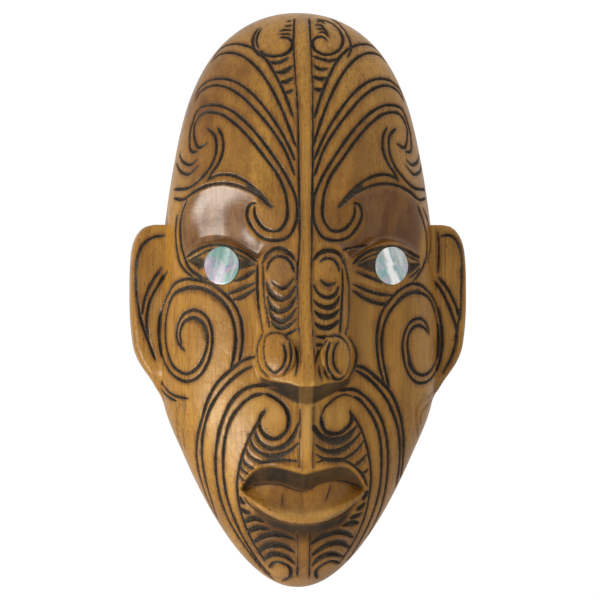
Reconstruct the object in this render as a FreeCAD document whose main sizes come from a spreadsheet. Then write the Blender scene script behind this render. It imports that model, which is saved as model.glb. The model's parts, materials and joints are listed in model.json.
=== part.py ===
"""A carved wooden wall mask with two shell eye discs and a ring hanger let into its back.

Frame: +Z is up, the face looks along -Y and the flat back lies in the plane y = 0.
The origin is where the wall nail carries the raised hanger ring, on the back plane.
Heights inside the helper functions are counted from the middle of the mask's height,
and every piece is placed through at_middle(), which moves them to that origin.
"""

import math
import os

import FreeCAD
import Part
import PartDesign
import Sketcher

V = FreeCAD.Vector
X_AXIS, Y_AXIS, Z_AXIS = V(1, 0, 0), V(0, 1, 0), V(0, 0, 1)

DIMENSIONS = {
    # the wood block
    "mask_height": 302,
    "dome_depth": 50,
    "edge_band": 12,
    "end_angle": 84,
    "ear_reach": 88.2,
    "ear_thick": 20,
    "ear_top": 39.4,
    "ear_bottom": 40,
    "ear_round": 5,
    # nose and lips, measured out from the dome
    "nose_rise": 17,
    "nose_half_width": 24,
    "upper_lip_rise": 4,
    "lower_lip_rise": 8,
    "lip_half_width": 33,
    # the scooped back
    "hollow_half_width": 52,
    "hollow_half_height": 100,
    "hollow_depth": 46,
    "hollow_drop": 24,
    # the eyes, which a carver never sets quite alike
    "left_eye_offset": 43,
    "right_eye_offset": 46,
    "left_eye_tilt": 29.5,
    "right_eye_tilt": 28.5,
    "left_eye_depth": 52.3,
    "right_eye_depth": 50.7,
    "eye_height": 17.8,
    "disc_radius": 10,
    "disc_thick": 2,
    "disc_crown": 0.4,
    "glue_thick": 0.8,
    "seat_gap": 0.15,
    "socket_offset": 41,
    "socket_height": 43.5,
    "socket_half_width": 22,
    "socket_half_height": 14.5,
    "socket_cut": 7,
    # the hanger and its recess
    "knuckle_height": 112,
    "recess_half_width": 12,
    "recess_depth": 6.5,
    "recess_above": 18,
    "recess_below": 27,
    "strap_width": 10,
    "strap_length": 24,
    "strap_thick": 1,
    "knuckle_stand": 2.5,
    "wire_radius": 1.1,
    "wire_gap": 0.08,
    "ring_bar": 11,
    "ring_corner": 2.5,
    "ring_straight": 2.5,
    "ring_radius": 8,
    # the hanger screws
    "shank_radius": 1.45,
    "pilot_radius": 1.25,
    "head_radius": 2.8,
    "head_thick": 1.9,
    "screw_length": 12,
    "tip_length": 3,
    "upper_screw_drop": 6.5,
    "lower_screw_drop": 18.5,
    "hole_gap": 0.2,
}

# The forms are made this much too thick at the back, and one flat cut takes it off.
SAW_SPARE = 1.0

# Half-width of the face divided by the cosine of the latitude, from the chin to the crown.
WIDTH_BY_LATITUDE = [
    (-90, 61.0),
    (-74, 61.5),
    (-50, 65.7),
    (-33, 70.7),
    (-21, 75.2),
    (-12, 73.6),
    (10, 71.9),
    (29, 73.6),
    (45, 79.0),
    (65, 87.0),
    (90, 95.0),
]

doc = FreeCAD.newDocument("carved_mask")
sheet = doc.addObject("Spreadsheet::Sheet", "sheet")


def fill_sheet():
    for row, (alias, value) in enumerate(DIMENSIONS.items(), start=1):
        sheet.set(f"A{row}", alias)
        sheet.set(f"B{row}", str(value))
        sheet.setAlias(f"B{row}", alias)
    doc.recompute()


def size(alias):
    return float(getattr(sheet, alias))


def bind(thing, **expressions):
    for name, expression in expressions.items():
        thing.setExpression(name, expression)


def origin_height():
    """Height of the nail's bearing point above mid-height, with the ring raised."""
    reach = size("ring_corner") + size("ring_straight") + size("ring_radius") - size("wire_radius")
    return size("knuckle_height") + reach


def at_middle(x, y, z, rotation=None):
    """Placement of a point whose height is counted from the middle of the mask."""
    return FreeCAD.Placement(V(x, y, z - origin_height()), rotation or FreeCAD.Rotation())


def feature(name, shape):
    """A feature whose shape is worked out around mid-height and then moved to the origin."""
    thing = doc.addObject("Part::Feature", name)
    thing.Shape = shape
    thing.Placement = at_middle(0, 0, 0)
    return thing


# ---------------------------------------------------------------- the face's own surface


def width_factor(latitude):
    """Smooth curve through WIDTH_BY_LATITUDE, as a Catmull-Rom spline."""
    table = WIDTH_BY_LATITUDE
    i = max(k for k in range(len(table) - 1) if table[k][0] <= latitude or k == 0)
    (a0, w0), (a1, w1) = table[i], table[i + 1]
    before = table[max(i - 1, 0)]
    after = table[min(i + 2, len(table) - 1)]
    slope0 = (w1 - before[1]) / (a1 - before[0])
    slope1 = (after[1] - w0) / (after[0] - a0)
    u = (latitude - a0) / (a1 - a0)
    span = a1 - a0
    return (
        w0 * (2 * u**3 - 3 * u**2 + 1)
        + slope0 * span * (u**3 - 2 * u**2 + u)
        + w1 * (3 * u**2 - 2 * u**3)
        + slope1 * span * (u**3 - u**2)
    )


def latitude_at(height):
    """Latitude, in degrees, of a height counted from mid-height."""
    sine = height / (size("mask_height") / 2) * math.sin(math.radians(size("end_angle")))
    return math.degrees(math.asin(sine))


def section_sizes(height):
    """Half-width, dome depth and edge band of the level section at a height."""
    latitude = latitude_at(height)
    cosine = math.cos(math.radians(latitude))
    half_width = width_factor(latitude) * cosine
    dome = size("dome_depth") * cosine**0.85
    band = size("edge_band") * cosine**0.3
    return half_width, dome, band


def dome_front(x, height):
    """Depth of the plain dome in front of the back plane."""
    half_width, dome, band = section_sizes(height)
    return band + dome * math.sqrt(max(0.0, 1 - (x / half_width) ** 2))


def smooth_curve(points):
    curve = Part.BSplineCurve()
    curve.interpolate(points)
    return curve.toShape()


def dome_section(height):
    """Closed level section: flat back, upright edge bands and the arched front."""
    half_width, dome, band = section_sizes(height)
    steps = 16
    front = []
    for k in range(steps + 1):
        turn = math.pi * k / steps
        front.append(V(half_width * math.cos(turn), -band - dome * math.sin(turn), height))
    right_foot = V(half_width, SAW_SPARE, height)
    left_foot = V(-half_width, SAW_SPARE, height)
    edges = [
        Part.makeLine(right_foot, front[0]),
        smooth_curve(front),
        Part.makeLine(front[-1], left_foot),
        Part.makeLine(left_foot, right_foot),
    ]
    return Part.Wire(edges)


def make_dome():
    end = size("end_angle")
    levels = 25
    sections = []
    for k in range(levels):
        latitude = -end + 2 * end * k / (levels - 1)
        height = size("mask_height") / 2 * math.sin(math.radians(latitude)) / math.sin(math.radians(end))
        sections.append(dome_section(height))
    return feature("plain_dome", Part.makeLoft(sections, True, False))


def make_ear(side):
    """Ear slab, with its root hidden inside the face. side is -1 or 1."""
    reach, top, bottom = size("ear_reach"), size("ear_top"), size("ear_bottom")
    root = 60
    outline = [
        V(root, 0, top),
        V(reach - 12, 0, top),
        V(reach - 4.5, 0, top - 4),
        V(reach - 1.2, 0, top - 12.5),
        V(reach, 0, top - 34),
        V(reach - 0.8, 0, -15),
        V(reach - 4, 0, -31),
        V(reach - 10, 0, -bottom),
        V(reach - 17, 0, -bottom - 11),
        V(root, 0, -bottom - 20),
    ]
    outline = [V(side * p.x, SAW_SPARE, p.z) for p in outline]
    edges = [smooth_curve(outline), Part.makeLine(outline[-1], outline[0])]
    slab = Part.Face(Part.Wire(edges)).extrude(V(0, -size("ear_thick") - SAW_SPARE, 0))
    front_edges = [e for e in slab.Edges if abs(e.BoundBox.YMax + size("ear_thick")) < 0.01]
    outer = max(front_edges, key=lambda e: e.Length)
    return feature(f"{side_name(side)}_ear", slab.makeFillet(size("ear_round"), [outer]))


def nose_section(height, half_width, rise):
    """Level section through the nose: rounded over the ridge, sunk into the dome behind."""
    ridge = dome_front(0, height) + rise
    flank = dome_front(half_width * 0.55, height) + rise * 0.45
    foot = dome_front(half_width, height) - 3
    front = [
        V(-half_width, -foot, height),
        V(-half_width * 0.55, -flank, height),
        V(0, -ridge, height),
        V(half_width * 0.55, -flank, height),
        V(half_width, -foot, height),
    ]
    root = foot - 6
    back = [V(half_width, -root, height), V(-half_width, -root, height)]
    edges = [smooth_curve(front)]
    corners = [front[-1], *back, front[0]]
    edges += [Part.makeLine(p, q) for p, q in zip(corners, corners[1:])]
    return Part.Wire(edges)


def make_nose():
    wide, rise = size("nose_half_width"), size("nose_rise")
    levels = [
        (48, wide * 0.5, 0.5),
        (20, wide * 0.62, rise * 0.32),
        (-12, wide * 0.85, rise * 0.7),
        (-34, wide, rise),
        (-46, wide * 0.95, rise * 0.8),
    ]
    sections = [nose_section(*level) for level in levels]
    return feature("nose", Part.makeLoft(sections, True, False))


def ellipsoid(name, centre, across, deep, tall):
    """Ellipsoid whose poles point along Y. The sizes are expressions of the sheet."""
    thing = doc.addObject("Part::Ellipsoid", name)
    bind(thing, Radius1=deep, Radius2=across, Radius3=tall)
    thing.Placement = at_middle(*centre, FreeCAD.Rotation(X_AXIS, 90))
    return thing


def make_lips():
    upper_height, lower_height, sunk = -74, -106, 10
    upper_depth = dome_front(0, upper_height) - sunk
    lower_depth = dome_front(0, lower_height) - sunk
    upper = ellipsoid(
        "upper_lip",
        (0, -upper_depth, upper_height),
        "sheet.lip_half_width",
        f"sheet.upper_lip_rise + {sunk}",
        "sheet.lip_half_width * 0.7",
    )
    lower = ellipsoid(
        "lower_lip",
        (0, -lower_depth, lower_height),
        "sheet.lip_half_width",
        f"sheet.lower_lip_rise + {sunk}",
        "sheet.lip_half_width / 3",
    )
    return [upper, lower]


def make_socket(side):
    """The hollow under the brow, above the eye."""
    x, height = side * size("socket_offset"), size("socket_height")
    tilt = FreeCAD.Rotation(Z_AXIS, side * size(f"{side_name(side)}_eye_tilt"))
    thing = doc.addObject("Part::Ellipsoid", f"{side_name(side)}_socket")
    bind(
        thing,
        Radius1="sheet.socket_cut",
        Radius2="sheet.socket_half_width",
        Radius3="sheet.socket_half_height",
    )
    depth = dome_front(x, height)
    thing.Placement = at_middle(x, -depth, height, tilt * FreeCAD.Rotation(X_AXIS, 90))
    return thing


# ---------------------------------------------------------------- cuts in the block


def make_back_cut():
    """The flat saw cut that leaves the back in one plane."""
    cut = doc.addObject("Part::Box", "back_cut")
    bind(cut, Length="3 * sheet.ear_reach", Width="20", Height="sheet.mask_height + 20")
    cut.Placement = at_middle(-1.5 * size("ear_reach"), 0, -size("mask_height") / 2 - 10)
    return cut


def make_hollow():
    """The scoop in the back, where the wood is thinned from behind."""
    return ellipsoid(
        "back_hollow",
        (0, 0, -size("hollow_drop")),
        "sheet.hollow_half_width",
        "sheet.hollow_depth",
        "sheet.hollow_half_height",
    )


def side_name(side):
    return "left" if side < 0 else "right"


def eye_placement(side, lift=0.0):
    """Placement of an eye, with local +Z out of the face. lift moves it along that way."""
    offset, tilt, depth = [size(f"{side_name(side)}_eye_{what}") for what in ("offset", "tilt", "depth")]
    turn = FreeCAD.Rotation(Z_AXIS, side * tilt) * FreeCAD.Rotation(X_AXIS, 90)
    out = turn.multVec(Z_AXIS)
    centre = V(side * offset, -depth, size("eye_height")) + out * lift
    return at_middle(centre.x, centre.y, centre.z, turn)


def make_eye_seat(side):
    """Round seat for the glue and the disc, open to the front."""
    seat = doc.addObject("Part::Cylinder", f"{side_name(side)}_seat")
    bind(seat, Radius="sheet.disc_radius + sheet.seat_gap", Height="20")
    seat.Placement = eye_placement(side, -size("disc_thick") - size("glue_thick"))
    return seat


def make_recess():
    """Box-shaped recess that keeps the whole hanger below the back plane."""
    recess = doc.addObject("Part::Box", "hanger_recess")
    bind(
        recess,
        Length="2 * sheet.recess_half_width",
        Width="2 * sheet.recess_depth",
        Height="sheet.recess_above + sheet.recess_below",
    )
    low = size("knuckle_height") - size("recess_below")
    recess.Placement = at_middle(-size("recess_half_width"), -size("recess_depth"), low)
    return recess


def screw_placement(drop):
    """Placement of a screw, with local +Z out of the back and z = 0 under its head."""
    y = -size("recess_depth") + size("strap_thick")
    return at_middle(0, y, size("knuckle_height") - drop, FreeCAD.Rotation(X_AXIS, -90))


def make_pilot(name, drop):
    """Pilot hole that the screw's thread bites into."""
    pilot = doc.addObject("Part::Cylinder", name)
    bind(pilot, Radius="sheet.pilot_radius", Height="sheet.screw_length + 2")
    placement = screw_placement(drop)
    placement.Base = placement.Base - V(0, size("screw_length") + 1, 0)
    pilot.Placement = placement
    return pilot


def make_mask_body():
    raised = doc.addObject("Part::MultiFuse", "raised_forms")
    raised.Shapes = [make_dome(), make_ear(-1), make_ear(1), make_nose(), *make_lips()]
    removed = doc.addObject("Part::MultiFuse", "removed_forms")
    removed.Shapes = [
        make_back_cut(),
        make_hollow(),
        make_recess(),
        make_socket(-1),
        make_socket(1),
        make_eye_seat(-1),
        make_eye_seat(1),
        make_pilot("upper_pilot", size("upper_screw_drop")),
        make_pilot("lower_pilot", size("lower_screw_drop")),
    ]
    body = doc.addObject("Part::Cut", "mask_body")
    body.Base = raised
    body.Tool = removed
    return body


# ---------------------------------------------------------------- bodies made from sketches


def value_of(expression):
    """Number that an expression of the sheet's aliases comes to."""
    sheet.set("D1", "=" + expression.replace("sheet.", ""))
    sheet.recompute()
    return float(sheet.get("D1"))


def new_body(name, placement):
    body = doc.addObject("PartDesign::Body", name)
    body.Label = name
    body.Placement = placement
    return body


def sketch_on(body, name, role):
    """Sketch on one of the body's own origin planes."""
    sketch = body.newObject("Sketcher::SketchObject", name)
    plane = next(item for item in body.Origin.OriginFeatures if item.Role == role)
    sketch.AttachmentSupport = [(plane, "")]
    sketch.MapMode = "FlatFace"
    return sketch


def hold_point(sketch, edge, end, across, up):
    """Ties a point to the sketch's axes by two expressions. A plain 0 puts it on the axis."""
    for kind, axis, expression in (("DistanceX", -2, across), ("DistanceY", -1, up)):
        if expression == "0":
            sketch.addConstraint(Sketcher.Constraint("PointOnObject", edge, end, axis))
            continue
        here = value_of(expression)
        index = sketch.addConstraint(Sketcher.Constraint(kind, -1, 1, edge, end, here))
        sketch.setExpression(f"Constraints[{index}]", expression)


def add_outline(sketch, corners):
    """Closed outline of straight lines through corners given as pairs of expressions."""
    points = [V(value_of(across), value_of(up), 0) for across, up in corners]
    count = len(points)
    for k in range(count):
        start, end = points[k], points[(k + 1) % count]
        sketch.addGeometry(Part.LineSegment(start, end), False)
    for k in range(count):
        sketch.addConstraint(Sketcher.Constraint("Coincident", k, 2, (k + 1) % count, 1))
    for k, (across, up) in enumerate(corners):
        hold_point(sketch, k, 1, across, up)


def add_circle(sketch, across, up, radius):
    centre = V(value_of(across), value_of(up), 0)
    edge = sketch.addGeometry(Part.Circle(centre, Z_AXIS, value_of(radius)), False)
    hold_point(sketch, edge, 3, across, up)
    index = sketch.addConstraint(Sketcher.Constraint("Radius", edge, value_of(radius)))
    sketch.setExpression(f"Constraints[{index}]", radius)


def add_pad(body, name, sketch, length, midplane=False):
    pad = body.newObject("PartDesign::Pad", name)
    pad.Profile = sketch
    pad.setExpression("Length", length)
    pad.Midplane = midplane
    return pad


def add_through_pocket(body, name, sketch):
    """Pocket that cuts everything on both sides of its sketch."""
    pocket = body.newObject("PartDesign::Pocket", name)
    pocket.Profile = sketch
    pocket.Type = "ThroughAll"
    pocket.Midplane = True
    return pocket


def add_revolution(body, name, sketch):
    """Full turn about the sketch's upright axis."""
    turned = body.newObject("PartDesign::Revolution", name)
    turned.Profile = sketch
    turned.ReferenceAxis = (sketch, ["V_Axis"])
    turned.Angle = 360
    return turned


# ---------------------------------------------------------------- eyes


def make_eye_disc(side, name):
    """Slice of shell, a little thicker at its middle, with a softened front edge."""
    body = new_body(name, eye_placement(side, -size("disc_thick")))
    sketch = sketch_on(body, name + "_profile", "XZ_Plane")
    corners = [
        ("0", "0"),
        ("sheet.disc_radius", "0"),
        ("sheet.disc_radius", "sheet.disc_thick * 0.75"),
        ("sheet.disc_radius * 0.96", "sheet.disc_thick"),
        ("sheet.disc_radius * 0.5", "sheet.disc_thick + sheet.disc_crown * 0.75"),
        ("0", "sheet.disc_thick + sheet.disc_crown"),
    ]
    add_outline(sketch, corners)
    add_revolution(body, name + "_turned", sketch)
    return body


def make_eye_glue(side, name):
    """Thin bed of glue between the seat's floor and the disc."""
    glue = doc.addObject("Part::Cylinder", name)
    bind(glue, Radius="sheet.disc_radius", Height="sheet.glue_thick")
    glue.Placement = eye_placement(side, -size("disc_thick") - size("glue_thick"))
    return glue


# ---------------------------------------------------------------- hanger


def hanger_placement():
    """Local +X across, +Y up, +Z out of the back, with z = 0 on the recess floor."""
    turn = FreeCAD.Rotation(V(-1, 0, 0), Z_AXIS, Y_AXIS, "XYZ")
    return at_middle(0, -size("recess_depth"), size("knuckle_height"), turn)


def make_hanger_strap(name):
    """Strap folded round the ring's bar, with two screw holes."""
    body = new_body(name, hanger_placement())
    plate = sketch_on(body, "strap_plate", "XY_Plane")
    half, corner = "sheet.strap_width / 2", "sheet.strap_width / 5"
    corners = [
        (f"-{half}", "0"),
        (f"-{half}", f"-sheet.strap_length + {corner}"),
        (f"-{half} + {corner}", "-sheet.strap_length"),
        (f"{half} - {corner}", "-sheet.strap_length"),
        (half, f"-sheet.strap_length + {corner}"),
        (half, "0"),
    ]
    add_outline(plate, corners)
    add_pad(body, "strap_plate_pad", plate, "sheet.strap_thick")

    fold = sketch_on(body, "strap_fold", "YZ_Plane")
    add_circle(fold, "0", "sheet.knuckle_stand", "sheet.wire_radius + sheet.wire_gap + sheet.strap_thick")
    add_pad(body, "strap_fold_pad", fold, "sheet.strap_width", midplane=True)

    foot = sketch_on(body, "strap_foot", "YZ_Plane")
    back = "-sheet.knuckle_stand - sheet.strap_thick"
    add_outline(foot, [(back, "0"), ("0", "0"), ("0", "sheet.knuckle_stand"), (back, "sheet.strap_thick")])
    add_pad(body, "strap_foot_pad", foot, "sheet.strap_width", midplane=True)

    bore = sketch_on(body, "strap_bore", "YZ_Plane")
    add_circle(bore, "0", "sheet.knuckle_stand", "sheet.wire_radius + sheet.wire_gap")
    add_through_pocket(body, "strap_bore_cut", bore)

    holes = sketch_on(body, "strap_holes", "XY_Plane")
    for drop in ("sheet.upper_screw_drop", "sheet.lower_screw_drop"):
        add_circle(holes, "0", f"-{drop}", "sheet.shank_radius + sheet.hole_gap")
    add_through_pocket(body, "strap_holes_cut", holes)
    return body


def ring_point(x, drop, turn):
    """Placement of a stretch of the ring, drop below the knuckle's axis."""
    y = -size("recess_depth") + size("knuckle_stand")
    return at_middle(x, y, size("knuckle_height") - drop, turn)


def ring_straight(name, length, x, drop, turn):
    run = doc.addObject("Part::Cylinder", name)
    bind(run, Radius="sheet.wire_radius", Height=length)
    run.Placement = ring_point(x, drop, turn)
    return run


def ring_bend(name, radius, sweep, start, x, drop):
    """Part of a torus in the ring's own plane. start is the angle it begins at, from +X."""
    bend = doc.addObject("Part::Torus", name)
    bind(bend, Radius1=radius, Radius2="sheet.wire_radius", Angle3=str(sweep))
    turn = FreeCAD.Rotation(X_AXIS, 90) * FreeCAD.Rotation(Z_AXIS, start)
    bend.Placement = ring_point(x, drop, turn)
    return bend


def make_hanger_ring(name):
    """D-shaped ring of round wire, hanging down from the knuckle."""
    bar, corner = size("ring_bar"), size("ring_corner")
    straight, half = size("ring_straight"), size("ring_bar") / 2
    upright = FreeCAD.Rotation()
    across = FreeCAD.Rotation(Y_AXIS, 90)
    side = half + corner
    ring = doc.addObject("Part::MultiFuse", name)
    ring.Shapes = [
        ring_straight("ring_bar_run", "sheet.ring_bar", -bar / 2, 0, across),
        ring_bend("ring_right_corner", "sheet.ring_corner", 90, 0, half, corner),
        ring_bend("ring_left_corner", "sheet.ring_corner", 90, 90, -half, corner),
        ring_straight("ring_right_run", "sheet.ring_straight", side, corner + straight, upright),
        ring_straight("ring_left_run", "sheet.ring_straight", -side, corner + straight, upright),
        ring_bend("ring_bow", "sheet.ring_radius", 180, 180, 0, corner + straight),
    ]
    return ring


def make_screw(name, drop):
    """Pan-headed wood screw with a cross slot."""
    body = new_body(name, screw_placement(drop))
    profile = sketch_on(body, name + "_profile", "XZ_Plane")
    corners = [
        ("0", "-sheet.screw_length"),
        ("sheet.shank_radius", "-sheet.screw_length + sheet.tip_length"),
        ("sheet.shank_radius", "0"),
        ("sheet.head_radius", "0"),
        ("sheet.head_radius", "sheet.head_thick * 0.55"),
        ("sheet.head_radius * 0.85", "sheet.head_thick * 0.85"),
        ("sheet.head_radius * 0.55", "sheet.head_thick"),
        ("0", "sheet.head_thick"),
    ]
    add_outline(profile, corners)
    add_revolution(body, name + "_turned", profile)

    slot = sketch_on(body, name + "_slot", "XY_Plane")
    slot.setExpression("AttachmentOffset.Base.z", "sheet.head_thick")
    arm, half = "sheet.head_radius * 0.6", "sheet.head_radius * 0.13"
    cross = [(half, arm), (half, half), (arm, half), (arm, f"-{half}"), (half, f"-{half}"), (half, f"-{arm}")]
    cross += [(f"-({x})", f"-({y})") for x, y in cross]
    add_outline(slot, cross)
    cut = body.newObject("PartDesign::Pocket", name + "_slot_cut")
    cut.Profile = slot
    cut.setExpression("Length", "sheet.head_thick * 0.6")
    return body


# ---------------------------------------------------------------- checking and writing


def check_document(pieces):
    doc.recompute()
    for thing in doc.Objects:
        if "Invalid" in thing.State or "Error" in thing.State:
            raise RuntimeError(f"{thing.Label} failed: {thing.State}")
    for piece in pieces:
        if piece.Shape.isNull() or not piece.Shape.isValid():
            raise RuntimeError(f"{piece.Label} has no valid shape")


def write_parts(pieces):
    os.makedirs("parts", exist_ok=True)
    for piece in pieces:
        piece.Shape.exportStep(f"parts/{piece.Label}.step")
        box = piece.Shape.BoundBox
        print(
            f"{piece.Label:24s} solids {len(piece.Shape.Solids)} volume {piece.Shape.Volume:10.1f}"
            f"  x {box.XMin:7.2f} {box.XMax:7.2f}  y {box.YMin:7.2f} {box.YMax:7.2f}"
            f"  z {box.ZMin:7.2f} {box.ZMax:7.2f}"
        )


def main():
    fill_sheet()
    pieces = [
        make_eye_disc(-1, "left_eye_disc"),
        make_eye_disc(1, "right_eye_disc"),
        make_eye_glue(-1, "left_eye_adhesive"),
        make_eye_glue(1, "right_eye_adhesive"),
        make_hanger_strap("hanger_strap"),
        make_hanger_ring("hanger_ring"),
        make_screw("upper_hanger_screw", size("upper_screw_drop")),
        make_screw("lower_hanger_screw", size("lower_screw_drop")),
        make_mask_body(),
    ]
    check_document(pieces)
    write_parts(pieces)


main()
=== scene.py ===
"""Looks of a carved wooden wall mask with shell eyes, built around its CAD frame.

The wood is one closed mesh of level rows. Its plain form comes from a few curves, the relief
(brow, nose, lips, ears) is added to that form, and the carved lines are cut into it along
curves that are laid on the face. Lengths are millimetres unless a name or comment says
otherwise: x across, z up from the middle of the mask's height, depth out of the back plane,
and u the distance from the middle line. A curve's table lists (place, value).
"""

import json
import math

import bpy
import numpy as np
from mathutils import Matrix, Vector


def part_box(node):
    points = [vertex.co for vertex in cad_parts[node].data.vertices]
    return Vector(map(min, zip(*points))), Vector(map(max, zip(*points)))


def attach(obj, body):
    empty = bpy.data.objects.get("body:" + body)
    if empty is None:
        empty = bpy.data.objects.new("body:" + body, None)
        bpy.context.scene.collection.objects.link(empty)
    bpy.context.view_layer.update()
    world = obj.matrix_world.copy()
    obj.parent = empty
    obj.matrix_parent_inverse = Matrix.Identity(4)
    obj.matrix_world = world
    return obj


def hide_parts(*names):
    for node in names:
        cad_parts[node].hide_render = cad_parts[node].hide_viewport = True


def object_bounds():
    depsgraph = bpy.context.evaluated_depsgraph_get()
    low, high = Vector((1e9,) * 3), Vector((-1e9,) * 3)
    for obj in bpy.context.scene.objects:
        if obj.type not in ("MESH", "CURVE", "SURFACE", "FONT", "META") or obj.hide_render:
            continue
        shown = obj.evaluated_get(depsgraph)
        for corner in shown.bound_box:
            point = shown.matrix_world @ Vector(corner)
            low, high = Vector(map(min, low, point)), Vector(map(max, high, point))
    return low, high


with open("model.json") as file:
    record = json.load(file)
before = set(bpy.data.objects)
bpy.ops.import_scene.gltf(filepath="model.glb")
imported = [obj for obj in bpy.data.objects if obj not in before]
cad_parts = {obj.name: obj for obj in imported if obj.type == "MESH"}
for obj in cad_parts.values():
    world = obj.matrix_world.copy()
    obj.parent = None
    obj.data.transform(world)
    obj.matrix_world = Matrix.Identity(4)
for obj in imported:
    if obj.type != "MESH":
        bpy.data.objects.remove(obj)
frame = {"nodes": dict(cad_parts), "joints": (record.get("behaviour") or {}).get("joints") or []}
cad_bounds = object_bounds()

MM = 0.001
BODY_LOW, BODY_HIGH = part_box("mask_body")
MID_Z = (BODY_LOW[2] + BODY_HIGH[2]) / 2 / MM
HALF_HEIGHT = (BODY_HIGH[2] - BODY_LOW[2]) / 2 / MM
TINY = 1e-6

# The mesh: rows, columns on half the front (dome, ear face, side) and on the back (land, hollow).
ROWS = 720
FRONT_COLUMNS = (236, 30, 16)
BACK_COLUMNS = (10, 51)

# Where the rows lie closer, because the relief is steep: height, half size and how much closer.
FINE_ROWS = [(-49, 7, 0.7), (-118, 6, 0.6), (-98, 12, 0.4)]
# The outline is followed at this many heights, and its slant counts by this share in the spacing.
OUTLINE_COUNT, SLANT_SHARE = 6001, 0.7
# Two rows this far apart hold a sudden change between them.
ROW_GAP = 0.08

# The plain form of the face: a dome on an upright band, both falling off to the top and bottom.
DOME_DEPTH, DOME_FALL = 50.0, 0.85
EDGE_BAND, BAND_FALL = 12.0, 0.3
WIDTH_BY_LATITUDE = [
    (-90, 61.0), (-74, 61.5), (-50, 65.7), (-33, 70.7), (-21, 75.2), (-12, 73.6),
    (10, 71.9), (29, 73.6), (45, 79.0), (65, 87.0), (90, 95.0),
]

# The ears: how far out they reach at each height, and the depth of their front face.
EAR_TOP, EAR_ROOT = 39.4, -54.0
EAR_REACH = [
    (-54.0, 70.3), (-50.0, 72.0), (-46.5, 74.2), (-42.0, 76.8), (-38.0, 79.7), (-33.0, 83.0),
    (-27.0, 85.6), (-18.0, 87.2), (-8.0, 88.0), (6.0, 88.2), (20.0, 87.8), (27.0, 87.0),
    (31.0, 85.9), (35.0, 83.8), (37.5, 81.4), (38.9, 78.6), (39.4, 76.0),
]
EAR_FACE = 20.0
EAR_DISH = 1.2
EAR_ROUND = 4.0
EAR_STEPS_UNDER_TOP = (0.3, 0.6, 0.9, 1.3, 1.8)
# Heights over which the ear grows out of the jaw, and over which the columns spread again above it.
EAR_GROWTH, EAR_PASSING = 17.0, 25.0
# The ear's join with the face is a sharp crease above this range of heights and a soft one below.
EAR_CREASE = (0.0, 16.0)
SHARP_JOIN, SOFT_JOIN = 0.6, 13.0
# Where there is no ear the front ends at this share of the band's depth.
BAND_EDGE = 0.55
# Past its own edge the dome would go on down at this slope.
DOME_SLOPE_BEYOND = 2.0
# The share of the side's columns that goes round the ear's corner.
BEND_SHARE = 0.35

# The scooped back, and the most of a row's half width that it takes.
HOLLOW_WIDE, HOLLOW_TALL, HOLLOW_DEEP, HOLLOW_DROP = 52.0, 100.0, 46.0, 24.0
HOLLOW_SHARE = 0.8

# The hanger's recess, round the knuckle that the ring swings in.
KNUCKLE = [value / MM for value in frame["joints"][0]["pos_m"]]
RECESS_LOW = KNUCKLE[2] - MID_Z - 27.0
RECESS_HIGH = KNUCKLE[2] - MID_Z + 18.0
RECESS_HALF_WIDTH = 12.0
RECESS_DEPTH = 6.5

# The main view: a little to the viewer's left of straight ahead. The carved lines are drawn as they
# look from there, at true scale on a plane at SIGHT_PLANE, and are then laid on the face.
SIGHT_TURN = math.radians(4.3)
SIGHT_DISTANCE = 3000.0
VIEW_SIZE = 315.0
SIGHT_PLANE = 12.0
SIGHT_AXIS = 1.775
DRAWN_AXIS = -1.575
# A drawn line stops this close to the face's outline.
HORIZON = 0.4

# The relief dies away over this distance from the top and from the bottom.
POLE_CALM = 6.0


# ---- curves and steps


def through(table, at):
    """Smooth curve through a table of (place, value), read at an array of places."""
    places, values = np.array(table, float).T
    slopes = np.gradient(values, places)
    at = np.clip(at, places[0], places[-1])
    i = np.clip(np.searchsorted(places, at, side="right") - 1, 0, len(places) - 2)
    span = places[i + 1] - places[i]
    u = (at - places[i]) / span
    return (
        values[i] * (2 * u**3 - 3 * u**2 + 1)
        + slopes[i] * span * (u**3 - 2 * u**2 + u)
        + values[i + 1] * (3 * u**2 - 2 * u**3)
        + slopes[i + 1] * span * (u**3 - u**2)
    )


def step(value, low, high):
    """0 below low, 1 above high, and smooth between."""
    u = np.clip((value - low) / (high - low), 0, 1)
    return u * u * (3 - 2 * u)


def window(value, rise, fall):
    """1 between two smooth slopes, each given by its two ends, and 0 outside them."""
    return step(value, *rise) * (1 - step(value, *fall))


def bump(value, centre, half):
    """A soft hill with its top at the centre."""
    return np.exp(-(((value - centre) / half) ** 2))


def ellipse(u, z, centre_u, centre_z, half_u, half_z):
    """1 in the middle of an ellipse, falling to 0 at its edge and outside it."""
    return np.clip(1 - ((u - centre_u) / half_u) ** 2 - ((z - centre_z) / half_z) ** 2, 0, 1)


def smooth_max(a, b, reach):
    """The larger of two heights, rounded off where they are within reach of each other."""
    h = np.clip(0.5 + 0.5 * (a - b) / reach, 0, 1)
    return b + (a - b) * h + reach * h * (1 - h)


def unit(vectors):
    return vectors / np.maximum(np.linalg.norm(vectors, axis=-1, keepdims=True), TINY)


# ---- the plain form


def section_sizes(z):
    """Half-width, dome depth and edge band of the level section at each height."""
    latitude = np.arcsin(np.clip(z / HALF_HEIGHT, -1, 1))
    cosine = np.cos(latitude)
    half_width = through(WIDTH_BY_LATITUDE, np.degrees(latitude)) * cosine
    return half_width, DOME_DEPTH * cosine**DOME_FALL, EDGE_BAND * cosine**BAND_FALL


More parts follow.
